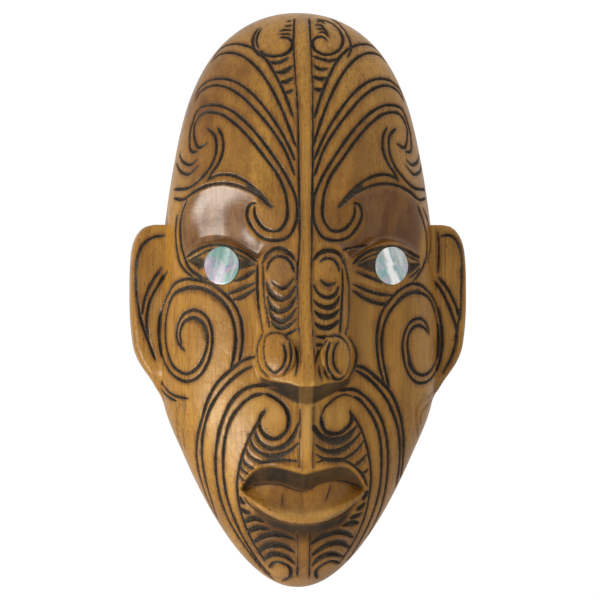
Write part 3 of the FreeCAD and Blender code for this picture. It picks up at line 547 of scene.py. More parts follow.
RIGHT_SIDE = [
    # temple
    ("line", 1.7, [(59.9, 50), (62.6, 43), (64.6, 35.7), (65.2, 28.4), (64.4, 21), (61.6, 14.6),
        (57.6, 9.4)]),
    ("line", 1.5, [(62.8, 49), (65.6, 41), (67, 33), (66.8, 26), (65.4, 20)]),
    # side of the nose
    ("line", 1.8, [(21.6, 22), (23, 15), (24.2, 8), (24.4, 0), (24.2, -8), (23.6, -14), (22.3, -18.6)]),
    ("line", 1.5, [(20.6, 17), (21, 9), (20.6, 0), (20, -10), (19.4, -17.6)]),
    ("line", 2.4, [(5.3, 20.4), (8, 24), (12, 26), (17, 25.4), (20.4, 22), (21.4, 18.4)]),
    ("line", 1.8, [(9, 19.8), (11, 21.6), (14, 22), (17, 20.5), (18.6, 17.6), (19, 14.5)]),
    ("scoop_right", 3.4, [(9.2, 11), (11.4, 9.2), (14.4, 8.2), (17.4, 9.6)]),
    ("moon", 2.4, [(5.4, 8.4), (7.6, 4.2), (11, 1.8), (14.5, 1.4), (17.2, 3.2), (19, 7.6)]),
    ("moon", 2.8, [(5.4, 0.2), (8, -2.4), (11.5, -3.8), (15, -3.6), (17.6, -1.6), (19.4, 2.4)]),
    ("moon", 3.2, [(5.8, -5.4), (8.6, -8), (12.4, -8.9), (16, -8), (19.4, -4.8)]),
    ("moon", 3.2, [(6, -11.8), (8.8, -14), (12.4, -14.7), (16, -13.4), (19.2, -10.4)]),
    ("moon", 2.4, [(6.4, -18.8), (10, -19.6), (14, -18.8), (19, -18)]),
    ("moon", 2.2, [(6.6, -23.6), (8.4, -23.6), (10.4, -23.4)]),
    # wing of the nose
    ("line", 1.9, [(23.5, -19.5), (26, -22.5), (27.8, -27), (28, -31), (27, -35.5), (24.6, -40.2),
        (22, -43.4)]),
    ("line", 1.7, [(16, -19), (19.4, -19.2), (22.5, -22), (24.5, -27), (24.8, -32), (23.4, -37.6),
        (20.4, -41.4), (17.6, -41.8), (15, -39.4), (13.2, -35.6), (12.6, -31), (13, -26), (14.6, -21.6)]),
    ("line", 1.6, [(18.8, -21.8), (17, -24.5), (16, -29), (16.3, -33), (18, -37), (20.2, -39)]),
    ("line", 1.3, [(13, -20.6), (9.6, -25), (7.2, -30), (6.8, -34)]),
    ("line", 1.3, [(8.4, -34), (8.8, -38), (10, -42)]),
    ("line", 1.3, [(10.8, -35), (12, -39), (14.4, -42)]),
    # cheek
    ("line", 1.8, [(43.4, -45.6), (42, -41), (40.5, -36), (39.5, -30), (38.9, -25), (38.8, -20),
        (39.3, -15), (40.5, -9.5), (42.5, -4.5), (45.5, -0.5), (49, 3.5), (53, 6.5), (58, 8.5),
        (62, 7.7), (65.5, 4.8), (68, 1.8), (70, -2.4), (71.5, -7), (72.5, -13), (73, -20),
        (72.8, -26), (71.8, -32), (70, -37), (67.5, -41), (64, -43.4), (60, -43.4), (57, -41),
        (54.5, -36.5), (53, -31), (52.4, -26), (52.6, -21), (54, -16), (56, -12.2), (59, -10.2),
        (62, -9.8), (64.5, -12), (66, -15.6), (66.2, -18.6)]),
    ("line", 1.9, [(45.6, -47), (44.6, -42.6), (43.5, -38), (42.3, -32), (41.6, -26), (41.5, -20),
        (42.4, -14), (44.2, -9), (46.5, -5), (49.5, -1.5), (53.5, 1.8), (58, 3.8), (62, 3.6),
        (65.5, 1.8), (68, -2.2), (69.8, -8), (70.8, -15), (71, -22), (70.6, -29), (69, -34),
        (66.5, -37.8), (63, -39.5), (60, -38.5), (57.5, -35), (55.8, -30), (55, -25), (55.1, -21),
        (55.9, -17.5), (58, -14.6), (61, -13.4), (64, -14.8), (65.8, -17.6)]),
    ("scoop_right", 2.6, [(64, 2.6), (60.5, 4.1), (56, 3.2), (51, 0), (47.4, -4)]),
    ("scoop_left", 3.4, [(62, -39.4), (59, -37.4), (56.8, -33), (55.6, -28)]),
    # ear
    ("line", 1.6, [(71.9, 33.4), (77.2, 33.9), (80.3, 31.5), (82.4, 27.3), (83.2, 23), (83.4, 12),
        (83, 0), (81.8, -12), (79.4, -22)]),
    ("line", 1.8, [(70.9, 12.1), (75.6, 6.3), (78.6, 0.6), (80.6, -4), (82, -9.6)]),
    ("line", 1.8, [(68.8, 10), (73, 4.2), (76, -2), (78.2, -7.4), (79.8, -12.4), (80.9, -17.4),
        (80.4, -22.4), (78.6, -28.4), (76, -34), (73.2, -39)]),
    ("line", 1.1, [(70.6, 36.4), (71.3, 28), (70.9, 14)]),
    ("bare", 1.8, [(69.6, -47.4), (66, -50.8), (61.4, -54), (59.8, -58), (59.8, -65), (60.4, -72)]),
    ("bare", 1.8, [(68.4, -51.4), (64.8, -55.6), (62.2, -59.4), (61.6, -66)]),
    # from the wing of the nose to the jaw
    ("line", 2.3, [(27.2, -34.8), (31, -35.2), (34.5, -37.2), (38.5, -40.6), (43, -44.8),
        (46.5, -49.2), (49.5, -55.4), (51.5, -61.8), (52.6, -68), (53, -76), (52.4, -86), (50.5, -97),
        (47.5, -107), (44.5, -114)]),
    ("line", 2.2, [(27.2, -36.8), (32, -39.4), (36.5, -43), (40.5, -47.4), (44.5, -53), (47.2, -58.8),
        (49.4, -65), (50.8, -73), (51, -82), (50, -92), (47.6, -103), (44, -115)]),
    # from the nostril round the mouth to the chin
    ("line", 2.1, [(18.4, -47.8), (23, -46.8), (27.5, -47.2), (32, -50), (36, -53.8), (39.5, -58.8),
        (42, -64.4), (44, -72), (44.8, -82), (44.2, -94), (41, -109), (34.5, -123), (26.5, -134.5),
        (19.5, -143), (15, -147)]),
    ("line", 2.0, [(26, -50.6), (29.5, -52.2), (33, -56), (36.4, -60.8), (39, -66.4), (40.8, -74),
        (41.4, -85), (40.4, -99), (36.4, -113), (29.6, -127.5), (22.6, -138), (17, -145)]),
    # upper lip
    ("line", 1.2, [(26.5, -50.8), (22, -49.6), (18, -51), (14, -54), (11, -57.5), (9.8, -61)]),
    ("line", 2.5, [(9.8, -60), (10.2, -65), (12, -68.8), (15.5, -70.2), (19.5, -69.8), (23, -67.4),
        (25.5, -64), (25.8, -61), (24.6, -58)]),
    ("line", 1.7, [(24.6, -58), (28, -63), (31, -68.5), (33, -74.5), (34.6, -81), (35.8, -90),
        (35.5, -99), (34, -108), (31.4, -117), (26, -128), (19.5, -138)]),
    ("scoop_right", 6.2, [(5.8, -65.4), (8.5, -69.6), (12, -72), (17, -73), (22, -71.8), (26, -68.4),
        (28.4, -65.6)]),
    ("scoop_right", 4.6, [(6.6, -75.5), (10, -77.8), (14, -79), (19, -78.6), (24, -76), (28, -72.2),
        (30.4, -69)]),
    ("scoop_right", 3.2, [(6.6, -80.6), (11, -82.8), (16, -83.4), (21, -83.2), (26, -80.4),
        (30, -76.6), (32.4, -73)]),
    ("scoop_right", 3.0, [(27, -86.6), (30, -84.6), (33.6, -80.8)]),
    ("moon", 1.8, [(30.6, -91.2), (32.6, -90.4), (34.6, -88.6)]),
    ("line", 1.6, [(6.6, -85.6), (11, -84.2), (16, -83.6), (21, -84), (25, -85.8), (28.5, -88.6),
        (31, -91.4), (32.8, -94.6), (33.8, -98)]),
    # mouth
    ("line", 1.1, [(0.5, -118), (8, -117.4), (15.6, -115.4), (22, -112), (28, -106.8)]),
    ("line", 0.8, [(0.5, -101), (5, -98.4), (11, -95.6), (17, -94.9)]),
    ("line", 1.3, [(17, -94.9), (22, -95.4), (27, -97), (31.4, -98.8)]),
    ("line", 0.8, [(14.6, -97), (13.2, -102), (11.6, -106)]),
    # chin
    ("moon", 3.4, [(31.4, -105), (32.8, -103), (34, -100.6)]),
    ("moon", 3.6, [(28.4, -110.4), (30.8, -108.6), (33, -106.4)]),
    ("moon", 3.6, [(24.6, -114.8), (28, -113.6), (31.4, -112)]),
    ("moon", 3.6, [(20.6, -118.8), (25, -117.4), (29.8, -117)]),
    ("scoop_left", 4.6, [(4.6, -128.6), (9, -125.7), (14, -123.7), (20, -122.7), (26.6, -125)]),
    ("scoop_left", 4.6, [(5, -134.4), (10.5, -130.9), (15, -128.9), (20, -128.4), (24.6, -130.6)]),
    ("scoop_left", 4.2, [(4.8, -140), (9, -136.4), (14, -134.4), (21.4, -135.2)]),
    ("line", 2.2, [(7.6, -146.6), (7, -142.6), (10, -139.6), (15, -137.4), (20, -138.4)]),
]

LEFT_EYE = [
    ("line", 2.1, [(-61.5, 22.5), (-57, 25.6), (-51, 28.4), (-44, 29.2), (-36, 27.4), (-29, 24.2),
        (-24, 20)]),
    ("line", 1.3, [(-60.5, 20.6), (-55, 23.3), (-50, 25.7), (-44, 26.8), (-36, 24.8), (-30, 21.8),
        (-25, 18.8)]),
    ("pit", 7.0, [(-60, 20.3), (-57, 20), (-54.2, 19.3)]),
    ("pit", 6.4, [(-25, 18.6), (-29, 18.8), (-33, 18.6)]),
    ("line", 1.6, [(-62, 19.5), (-59, 15.5), (-55, 12.5), (-50, 10.8)]),
    ("scoop_left", 3.6, [(-36.5, 9.4), (-31, 11.2), (-24.6, 15.6)]),
    ("scoop_left", 3.0, [(-40, 2.8), (-35, 4.3), (-30, 6.4), (-24.4, 9.2)]),
    ("scoop_left", 3.2, [(-37.5, -0.4), (-32, 1), (-28, 3.4), (-24, 6.4)]),
]
RIGHT_EYE = [
    ("line", 2.1, [(26.2, 18.6), (30, 22.6), (35, 25.7), (40.5, 27.2), (46, 27.8), (51.5, 27),
        (56.5, 24.8), (61.5, 22)]),
    ("line", 1.2, [(28.4, 18.8), (32.6, 21.7), (37, 23.8), (42, 25.4), (50, 25), (56, 22.6), (61, 20.2)]),
    ("pit", 8.0, [(28.8, 18.1), (33, 18.2), (37.2, 18.2)]),
    ("pit", 7.0, [(61.2, 18.9), (58.5, 17.6), (55.8, 16.8)]),
    ("line", 1.4, [(20, 26.2), (27, 27.4), (34, 28.7)]),
    ("scoop_left", 3.0, [(27.6, 14.6), (32.5, 12.6), (37.8, 10.4), (42, 8.8)]),
    ("scoop_left", 3.0, [(26, 8.2), (32.5, 5), (39.4, 2.8), (48.3, 2)]),
    ("scoop_left", 3.4, [(25.7, 4.9), (31.5, 0.8), (37, -1.6), (42, -2.6), (46, -1.2)]),
    ("line", 1.5, [(55, 11.5), (58.5, 13.4), (61.5, 17)]),
]
LEFT_CROWN = [
    ("line", 1.6, [(-23, 143), (-25.4, 139.6), (-26.4, 135), (-24.7, 130.2), (-21.5, 127.2)]),
    ("line", 1.4, [(-22, 142.5), (-24, 138.5), (-24.2, 134.4), (-22.6, 131.3)]),
    ("line", 2.2, [(-22.6, 131.3), (-20, 129.2), (-16, 128.2), (-11.5, 128.6), (-7.4, 130.4),
        (-5.3, 133.9), (-6.6, 136.8), (-9.5, 138), (-12.3, 137.6)]),
    ("scoop_right", 3.0, [(-18.5, 125.4), (-13, 125.2), (-7.5, 127.6)]),
    ("scoop_right", 3.2, [(-15, 119.8), (-10, 120.6), (-5.4, 123.4)]),
    ("scoop_right", 3.0, [(-12.4, 114.8), (-9, 115.2), (-5, 117.4)]),
    ("scoop_right", 2.6, [(-10.4, 109.2), (-7.4, 109.8), (-4.8, 111)]),
    ("moon", 1.6, [(-8.4, 146), (-7, 146.4), (-5.6, 146.8)]),
    ("moon", 1.7, [(-9.6, 143.6), (-7.5, 143.9), (-5.4, 144.4)]),
    ("moon", 1.8, [(-12.4, 141.2), (-9, 141.8), (-5.4, 141.4)]),
    ("moon", 1.6, [(-12.6, 139.4), (-9, 139.8), (-5.6, 139.2)]),
]
RIGHT_CROWN = [
    ("line", 1.5, [(10, 149.2), (14.2, 148), (18.6, 144.9), (22.2, 140.7), (24.7, 135.5),
        (25.2, 131.3), (23.1, 127.1)]),
    ("line", 1.9, [(6.5, 147.3), (11.6, 146.5), (16.3, 144.4), (19.6, 140.7), (21, 136), (20, 132.6),
        (17, 130), (13, 128.8), (8.6, 129.8), (5.5, 132.5), (5, 135.6), (7, 137.8), (10, 138.2),
        (12.6, 136.2)]),
    ("moon", 1.8, [(6, 144), (9, 144.4), (11.6, 142.2)]),
    ("moon", 2.0, [(7, 142), (10.6, 142.4), (13.4, 139.6)]),
    ("moon", 1.8, [(7.6, 140.4), (10.8, 140.6), (13.8, 137.8)]),
    ("moon", 1.6, [(6.5, 146), (9, 146.2), (12, 144.8)]),
    ("scoop_right", 3.0, [(5, 128.4), (9, 127.2), (14.2, 126.2), (19, 127.2)]),
    ("scoop_right", 3.0, [(5.4, 123.8), (8.6, 121.8), (13.4, 121.8)]),
    ("scoop_right", 3.4, [(5.2, 117.8), (9, 116.8), (13, 117.2)]),
    ("scoop_right", 3.2, [(6, 111.6), (8.4, 111), (11.2, 111.4)]),
]


def strip_edge(table, high, low):
    """The part of one of the strip's edges between two heights, as a drawn line."""
    return [(across, up) for up, across in table if low <= up <= high]


# The strip's edges are cut as lines down to the nose's tip, over the upper lip and on the chin.
STRIP_STRETCHES = [(148, -34), (-56, -88), (-122, -146)]
STRIP_CUT = 1.4
ONE_SIDE = LEFT_SIDE + RIGHT_SIDE + LEFT_EYE + RIGHT_EYE + LEFT_CROWN + RIGHT_CROWN
ONE_SIDE += [
    ("line", STRIP_CUT, strip_edge(edge, high, low))
    for edge in (STRIP_LEFT, STRIP_RIGHT)
    for high, low in STRIP_STRETCHES
]


# ---- the seats of the shell discs


# The wood round an eye disc and under it, measured from the disc's back face. The wood is levelled
# between the first pair of distances outside the disc's edge, and sunk between the second pair inside it.
SEAT_LEVEL, SEAT_FLOOR = 1.15, -0.85
SEAT_RIM = (0.4, 5.0)
SEAT_WALL = (-0.9, -0.2)
# Wood further than this from the disc's plane is left alone.
SEAT_REACH = 9.0


class Disc:
    """Where an eye disc of the frame sits: centre of its back face, direction it faces, radius, thickness."""

    def __init__(self, node):
        corners = np.array([vertex.co for vertex in frame["nodes"][node].data.vertices]) / MM
        corners[:, 2] -= MID_Z
        middle = (corners.min(axis=0) + corners.max(axis=0)) / 2
        spread = np.linalg.svd(corners - corners.mean(axis=0), full_matrices=False)[2]
        self.axis = spread[2] * -np.sign(spread[2][1])
        along = (corners - middle) @ self.axis
        self.thick = along.max() - along.min()
        self.centre = middle + self.axis * along.min()
        out = corners - middle
        self.radius = np.linalg.norm(out - np.outer(out @ self.axis, self.axis), axis=1).max()
        self.across = unit(np.cross(np.array([0, 0, 1.0]), self.axis))
        self.up = np.cross(self.axis, self.across)

    def placed(self, local):
        """Points in the mask's frame for points (across, up, out) in the disc's own."""
        return self.centre + local @ np.stack([self.across, self.up, self.axis])


def seat_disc(points, disc):
    """Levels the wood round a disc and sinks a seat under it."""
    local = points - disc.centre
    out = local @ disc.axis
    from_edge = np.linalg.norm(local - out[..., None] * disc.axis, axis=-1) - disc.radius
    level = out + (SEAT_LEVEL - out) * (1 - step(from_edge, *SEAT_RIM))
    level = level + (SEAT_FLOOR - level) * (1 - step(from_edge, *SEAT_WALL))
    return points + np.where(np.abs(out) < SEAT_REACH, level - out, 0)[..., None] * disc.axis


# ---- the front of the mask


class Face:
    """The front's grid of points, and ways to lay a drawn line on it."""

    def __init__(self, z, half_x, half_depth):
        self.z = z
        self.x = np.hstack([-half_x[:, :0:-1], half_x])
        self.depth = np.hstack([half_depth[:, :0:-1], half_depth])
        side_count = FRONT_COLUMNS[2]
        carved = slice(side_count, self.x.shape[1] - side_count)
        x, depth = self.x[:, carved], self.depth[:, carved]
        near_pole = step(HALF_HEIGHT - np.abs(z), 0, POLE_CALM)[:, None]
        up = seen_from_front(x, depth, z[:, None])[1]
        depth = depth + relief(x, up) * near_pole
        across, up = seen_from_front(x, depth, z[:, None])
        self.depth[:, carved] = depth + strip_relief(across, up) * near_pole
        self.across, self.up = seen_from_front(self.x, self.depth, z[:, None])

    def lay(self, drawn, mirrored):
        """Points (x, out, z) on the face for those drawn points (across, up) that it shows."""
        column = self.x.shape[1] // 2
        laid = []
        for across, up in drawn:
            # height and place depend on each other a little, and three rounds settle them
            for _ in range(3):
                height = np.interp(up, np.maximum.accumulate(self.up[:, column]), self.z)
                row = np.clip(np.searchsorted(self.z, height), 1, len(self.z) - 2)
                shown = slice(np.argmin(self.across[row]), np.argmax(self.across[row]) + 1)
                seen = np.maximum.accumulate(self.across[row, shown])
                place = np.interp(across, seen, self.x[row, shown])
                column = np.clip(np.searchsorted(self.x[row], place), 1, self.x.shape[1] - 2)
            if seen[0] + HORIZON < across < seen[-1] - HORIZON:
                depth = np.interp(place, self.x[row, shown], self.depth[row, shown])
                laid.append((-place if mirrored else place, -depth, height))
        return np.array(laid)

    def points(self):
        return level_points(self.x, self.depth, self.z)


def outward(points):
    """Unit normals of a grid of points, out of the face."""
    return unit(np.cross(np.gradient(points, axis=1), np.gradient(points, axis=0)))


# ---- cutting the lines


# How each kind of cut is shaped: how far its left and right side reach, as shares of its width.
# Left and right are as seen by someone walking along it.
CUT_SIDES = {"line": (0.5, 0.5), "bare": (0.5, 0.5), "moon": (0.5, 0.5), "pit": (0.5, 0.5),
             "scoop_left": (0.84, 0.16), "scoop_right": (0.16, 0.84)}
SCOOPS = ("scoop_left", "scoop_right")
# Depth of each cut, and the width at which it has that depth.
LINE_DEPTH, LINE_WIDTH = 1.25, 1.9
SCOOP_DEPTH, SCOOP_WIDTH = 1.5625, 3.4
PIT_DEPTH, PIT_WIDTH = 1.9, 5.5
BARE_DEPTH, BARE_STAIN, BARE_GLOW = 0.5, 0.25, 0.5
# A line comes in and runs out over this length. A cut's narrowest width is this share of its widest.
LINE_ENDS = 3.5
NARROWEST = 0.12
# The waves of a hand-pushed tool: share of the width, radians per mm, and shift from cut to cut.
UNEVENNESS = [(0.09, 0.31, 1.7), (0.05, 0.83, 4.1)]
# The brown stain fades over about SOFT_REACH from a cut's edge, and is worked out up to STAIN_REACH.
SOFT_REACH, STAIN_REACH = 1.3, 3.0
# A run's points are this far apart, and this many of its steps are cut at a time.
RUN_SPACING = 0.9
STRETCH = 8


def smooth_run(points):
    """Evenly spaced points along a smooth curve through a few points."""
    points = np.array(points, float)
    chords = np.linalg.norm(np.diff(points, axis=0), axis=1)
    places = np.concatenate([[0], np.cumsum(chords)])
    at = np.linspace(0, places[-1], max(int(places[-1] / RUN_SPACING), 6))
    return np.stack([through(np.stack([places, values], axis=1), at) for values in points.T], axis=1)


def cut_width(kind, along, width, seed):
    """Width of a cut along its length, with the small unevenness of a hand-pushed tool."""
    length = along[-1]
    u = np.clip(along / length, 0, 1)
    if kind == "moon" or kind in SCOOPS:
        swell = np.maximum(np.sin(np.pi * u), 0) ** 0.55
    elif kind == "pit":
        swell = u
    else:
        swell = np.clip(np.minimum(along, length - along) / LINE_ENDS, 0, 1) ** 0.5
    uneven = 1 + sum(share * np.sin(pitch * along + shift * seed) for share, pitch, shift in UNEVENNESS)
    return width * (NARROWEST + (1 - NARROWEST) * swell) * uneven


def nearest_stretch(points, runs, widths, sides, left_sign):
    """For each point: distance to the run, and half and full width of the cut at the nearest place."""
    leg, offset = np.diff(runs, axis=0), points[:, None] - runs[:-1]
    t = np.clip(np.einsum("psk,sk->ps", offset, leg) / np.maximum((leg**2).sum(1), 1e-9), 0, 1)
    away = np.linalg.norm(offset - t[..., None] * leg, axis=-1)
    on_left = (leg[:, 0] * offset[..., 2] - leg[:, 2] * offset[..., 0]) * left_sign > 0
    full = widths[:-1] + t * np.diff(widths)
    half = full * np.where(on_left, *sides)
    best = np.arange(len(points)), np.argmin(away / half, axis=1)
    return away[best], half[best], full[best]


def cut_section(kind, share, half, full):
    """Depth and dark stain of a cut, by the share of the way from its middle to its edge."""
    v = np.clip(1 - share, 0, 1)
    if kind in SCOOPS:
        deep = SCOOP_DEPTH * np.minimum(full / SCOOP_WIDTH, 1.3) * v**0.8
        on_slope = half > 0.5 * full
        return deep, np.where(on_slope, 1 - step(share, 0.25, 1.05), 1 - step(share, 0.8, 1.6))
    if kind == "pit":
        deep = PIT_DEPTH * np.minimum(full / PIT_WIDTH, 1.0) * step(v, 0, 0.75)
        return deep, 0.8 * (1 - step(share, 0.7, 1.1))
    deep = LINE_DEPTH * np.minimum(full / LINE_WIDTH, 1.5) * (1 - (1 - v) ** 1.6)
    black_stain_and_shade = 1 - step(share, 0.6, 1.3)
    if kind == "bare":
        return BARE_DEPTH * deep, BARE_STAIN * black_stain_and_shade
    return deep, black_stain_and_shade


def cut_one(points, z, kind, runs, widths, left_sign, found):
    """Works one cut into the depth and stains of the grid's points, a short stretch at a time."""
    for first in range(0, len(runs) - 1, STRETCH):
        part = slice(first, first + STRETCH + 1)
        reach = widths[part].max() + STAIN_REACH
        low, high = runs[part].min(axis=0) - reach, runs[part].max(axis=0) + reach
        rows = slice(np.searchsorted(z, low[2]), np.searchsorted(z, high[2]))
        near = (points[rows, :, 0] > low[0]) & (points[rows, :, 0] < high[0])
        if not near.any():
            continue
        wood = points[rows][near]
        away, half, full = nearest_stretch(wood, runs[part], widths[part], CUT_SIDES[kind], left_sign)
        deep, black_stain_and_shade = cut_section(kind, away / half, half, full)
        soft = np.exp(-(np.maximum(away - half, 0) / SOFT_REACH) ** 2) * (BARE_GLOW if kind == "bare" else 1)
        for target, value in zip(found, (deep, black_stain_and_shade, soft)):
            block = target[rows]
            block[near] = np.maximum(block[near], value)


def cut_lines(face):
    """Cut depth, dark stain and soft stain at each point of the front grid."""
    points = face.points()
    found = [np.zeros(face.x.shape) for _ in range(3)]
    jobs = [(line, mirrored) for line in BOTH_SIDES for mirrored in (False, True)]
    jobs += [(line, False) for line in ONE_SIDE]
    for seed, ((kind, width, drawn), mirrored) in enumerate(jobs):
        runs = face.lay(smooth_run(drawn), mirrored)
        along = np.concatenate([[0], np.cumsum(np.linalg.norm(np.diff(runs, axis=0), axis=1))])
        widths = cut_width(kind, along, width, seed)
        cut_one(points, face.z, kind, runs, widths, -1 if mirrored else 1, found)
    return found


# ---- stains rubbed on the wood, with painted shade and painted highlights


# Patches of darker brown: middle, half sizes and strength, all as drawn. Some are brown stain rubbed in more,
# and some are painted shade: on the chin, under the lower lip, at the left jaw's edge and on the left cheek.
WASHES_AND_SHADE = [
    (-40, 121, 13, 6, 0.40), (-52, 104, 8, 10, 0.30), (-30, 108, 10, 5, 0.20), (30, 80, 14, 16, 0.40),
    (20, 62, 9, 8, 0.35), (19, 44, 8, 9, 0.75), (7, 42, 5, 13, 0.55), (-52, 66, 15, 6, 0.35),
    (-6, 57, 6, 18, 0.25), (33, 24, 9, 7, 0.35), (-26, 24, 6, 5, 0.30), (12, -27, 9, 12, 0.20),
    (2, -141, 14, 12, 0.45), (0, -124, 24, 8, 0.45), (-20, -124, 10, 12, 0.38), (20, -124, 10, 12, 0.42),
    (78, 28, 8, 7, 0.35), (-80, 22, 5, 14, 0.25), (-50, 92, 20, 36, 0.42), (-33, 114, 16, 24, 0.35),
    (-54, 90, 10, 22, 0.22), (-42, -118, 6, 14, 0.4), (-78, -5, 8, 22, 0.22), (-34, 90, 10, 10, 0.12),
    (40, 60, 20, 4, 0.30), (12, 14, 8, 9, 0.15), (-12, 14, 7, 8, 0.5), (-24, -132, 12, 10, 0.45),
    (-8, -134, 12, 10, 0.25), (2, -38, 5, 8, 0.35), (-50, -20, 15, 17, 0.32), (-18, 43, 12, 9, 0.25),
    (40, 44, 20, 18, 0.12), (66, 15, 4, 30, 0.15),
]

# Patches of paler wood, given the same way: some worn by handling, and some painted highlights, on the nose's
# tip, the raised strips, the right cheek and the lower lip's rim.
WORN_AND_HIGHLIGHTS = [
    (2, -66, 4, 16, 0.9), (-30, -58, 12, 10, 0.5), (-14, -60, 5, 6, 0.5), (18, -60, 6, 6, 0.35),
    (-50, -70, 5, 20, 0.35), (-38, -90, 4, 20, 0.4), (2, -112.5, 22, 3.0, 0.6), (33, -20, 5, 22, 0.4),
    (32, 8, 6, 5, 0.35), (5, -44, 1.4, 1.4, 0.8), (-45, -28, 10, 10, 0.3), (20, -92, 5, 2, 0.2),
    (-29, 5, 4, 14, 0.2), (62, -22, 4, 14, 0.25), (1.5, 62, 4, 30, 0.25), (40, -74, 8, 20, 0.2),
    (78, -10, 6, 26, 0.15), (50, -38, 8, 10, 0.15),
]

# Patches with more varnish, or with less where the strength is negative.
POLISHED = [
    (-18, 43, 12, 9, 0.7), (-12, 15, 8, 8, 0.9), (-60, 24, 6, 8, 0.4), (-78, -5, 9, 24, 0.6),
    (42, 42, 22, 20, -0.65), (-25, 29, 4, 5, -0.9),
]


def patches(face, listed):
    """The sum of soft patches at each point of the front."""
    return sum(
        strength * bump(face.across, across, wide) * bump(face.up, up, tall)
        for across, up, wide, tall, strength in listed
    )


def socket_wash(face):
    """The eye sockets' own stain and varnish, which stop short of the nose."""
    u = np.abs(face.x)
    return socket_area(u, face.up) * step(u, 6, 16)


def stained_and_shaded(face):
    """How much brown each point of the front has, from 0 to 1: stain in the sockets and on the lower lip, and
    patches that are partly stain and partly painted shade.
    """
    u, z = np.abs(face.x), face.up
    sockets = socket_wash(face) * step(through(BROW_EDGE, u) - z, 1.0, 5.0)
    lower_lip = window(below_parting(u, z), (-0.05, 0.1), (0.64, 0.80)) * (1 - step(u, 30, 33))
    return np.clip(0.9 * sockets + patches(face, WASHES_AND_SHADE) + 0.5 * lower_lip, 0, 1)


def polished(face):
    """Where the varnish lies thick and shiny: in the eye sockets and on a few patches."""
    return np.clip(socket_wash(face) + patches(face, POLISHED), 0, 1)


def blackened_and_shaded(face):
    """Near-black at each point: painted shade under the nose and under the lower lip, and in the mouth's
    opening dark stain and painted shade both.
    """
    x, u, z = face.x, np.abs(face.x), face.up
    under_nose = step(through(NOSE_TIP, u) - z, -0.2, 1.0) * step(z - through(NOSE_SOLE, u), -1.2, 0.6)
    on_strip = window(face.across, (-2.8, -1.8), (4.6, 5.6))
    right_nostril = step(face.across, 4, 9)
    under_nose *= (1 - step(u, 22, 25)) * (1 - 0.22 * on_strip) * (1 - 0.08 * right_nostril)
    seam = through(LIP_PART, u) - 1.2 * (1 - step(x, -6, 6))
    opening = step(through(LIP_TOP, u) - z, 0.4, 2.0) * step(z - seam, -1, 1) * (1 - step(u, 30, 33))
    opening *= 0.97 - 0.09 * step(x, -4, 10)
    under_lip = window(below_parting(u, z), (1.02, 1.10), (1.3, 1.8)) * (1 - step(u, 22, 30))
    return np.clip(0.97 * under_nose + opening + 0.97 * under_lip, 0, 1)


# ---- the wood's mesh


def closed_faces(row_count, column_count):
    """Quads of a tube of rows, and triangles that close each of its ends to one further point."""
    ring = np.arange(column_count)
    following = (ring + 1) % column_count
    low = np.arange(row_count - 1)[:, None] * column_count
    high = low + column_count
    quads = np.stack([low + ring, low + following, high + following, high + ring], axis=-1)
    bottom = row_count * column_count
    top_row = bottom - column_count
    fan_low = np.stack([np.full(column_count, bottom), following, ring], axis=-1)
    fan_high = np.stack([np.full(column_count, bottom + 1), top_row + ring, top_row + following], axis=-1)
    return quads.reshape(-1, 4), np.vstack([fan_low, fan_high])


def new_mesh(name, points_mm, quads, triangles):
    """Mesh object from arrays, placed in the frame."""
    mesh = bpy.data.meshes.new(name)
    placed = (points_mm + np.array([0, 0, MID_Z])) * MM
    mesh.vertices.add(len(placed))
    mesh.vertices.foreach_set("co", placed.astype(np.float32).ravel())
    corners = np.concatenate([quads.ravel(), triangles.ravel()])
    mesh.loops.add(len(corners))
    mesh.loops.foreach_set("vertex_index", corners.astype(np.int32))
    sizes = np.concatenate([np.full(len(quads), 4), np.full(len(triangles), 3)])
    starts = np.concatenate([[0], np.cumsum(sizes)[:-1]])
    mesh.polygons.add(len(sizes))
    mesh.polygons.foreach_set("loop_start", starts.astype(np.int32))
    mesh.polygons.foreach_set("use_smooth", np.ones(len(sizes), bool))
    mesh.update(calc_edges=True)
    mesh.validate()
    piece = bpy.data.objects.new(name, mesh)
    bpy.context.scene.collection.objects.link(piece)
    return piece


def set_attributes(piece, grids, shape):
    """Stores a value per point for each grid over the front, with 0 on the back and the two ends."""
    for name, values in grids.items():
        whole = np.zeros(shape)
        whole[:, :values.shape[1]] = values
        layer = piece.data.attributes.new(name, "FLOAT", "POINT")
        layer.data.foreach_set("value", np.append(whole, [0, 0]).astype(np.float32))


# Edges sharper than this aren't shaded smooth.
WOOD_SHARP, DISC_SHARP = math.radians(62), math.radians(50)


def make_mask():
    """The carved wood: the rows of its front and back joined into one closed mesh."""
    z = row_heights(ROWS)[1:-1]
    half_x, half_depth = front_columns(z, FRONT_COLUMNS)
    face = Face(z, half_x, half_depth)
    cut, dark, soft = cut_lines(face)
    front = face.points()
    front = front - outward(front) * cut[..., None]
    for disc in DISCS:
        front = seat_disc(front, disc)
    back = level_points(*back_columns(z, half_x[:, -1], BACK_COLUMNS), z)
    rows = np.concatenate([front, back], axis=1)
    end_depths = rows[[0, -1], :, 1].mean(axis=1)
    ends = np.array([[0, end_depths[0], -HALF_HEIGHT], [0, end_depths[1], HALF_HEIGHT]])
    quads, triangles = closed_faces(*rows.shape[:2])
    piece = new_mesh("carved_mask", np.vstack([rows.reshape(-1, 3), ends]), quads, triangles)
    # The front's stains, with painted shade under the nose, lips and chin and painted highlights on raised
    # forms among them.
    stains_and_painted_light = {"stain": dark, "soft_stain": soft, "brown_stain_and_shade": stained_and_shaded(face), "black_stain_and_shade": blackened_and_shaded(face),
              "worn_and_highlight": np.clip(patches(face, WORN_AND_HIGHLIGHTS), 0, 1), "polish": polished(face)}
    set_attributes(piece, stains_and_painted_light, rows.shape[:2])
    piece.data.set_sharp_from_angle(angle=WOOD_SHARP)
    return piece


# ---- materials


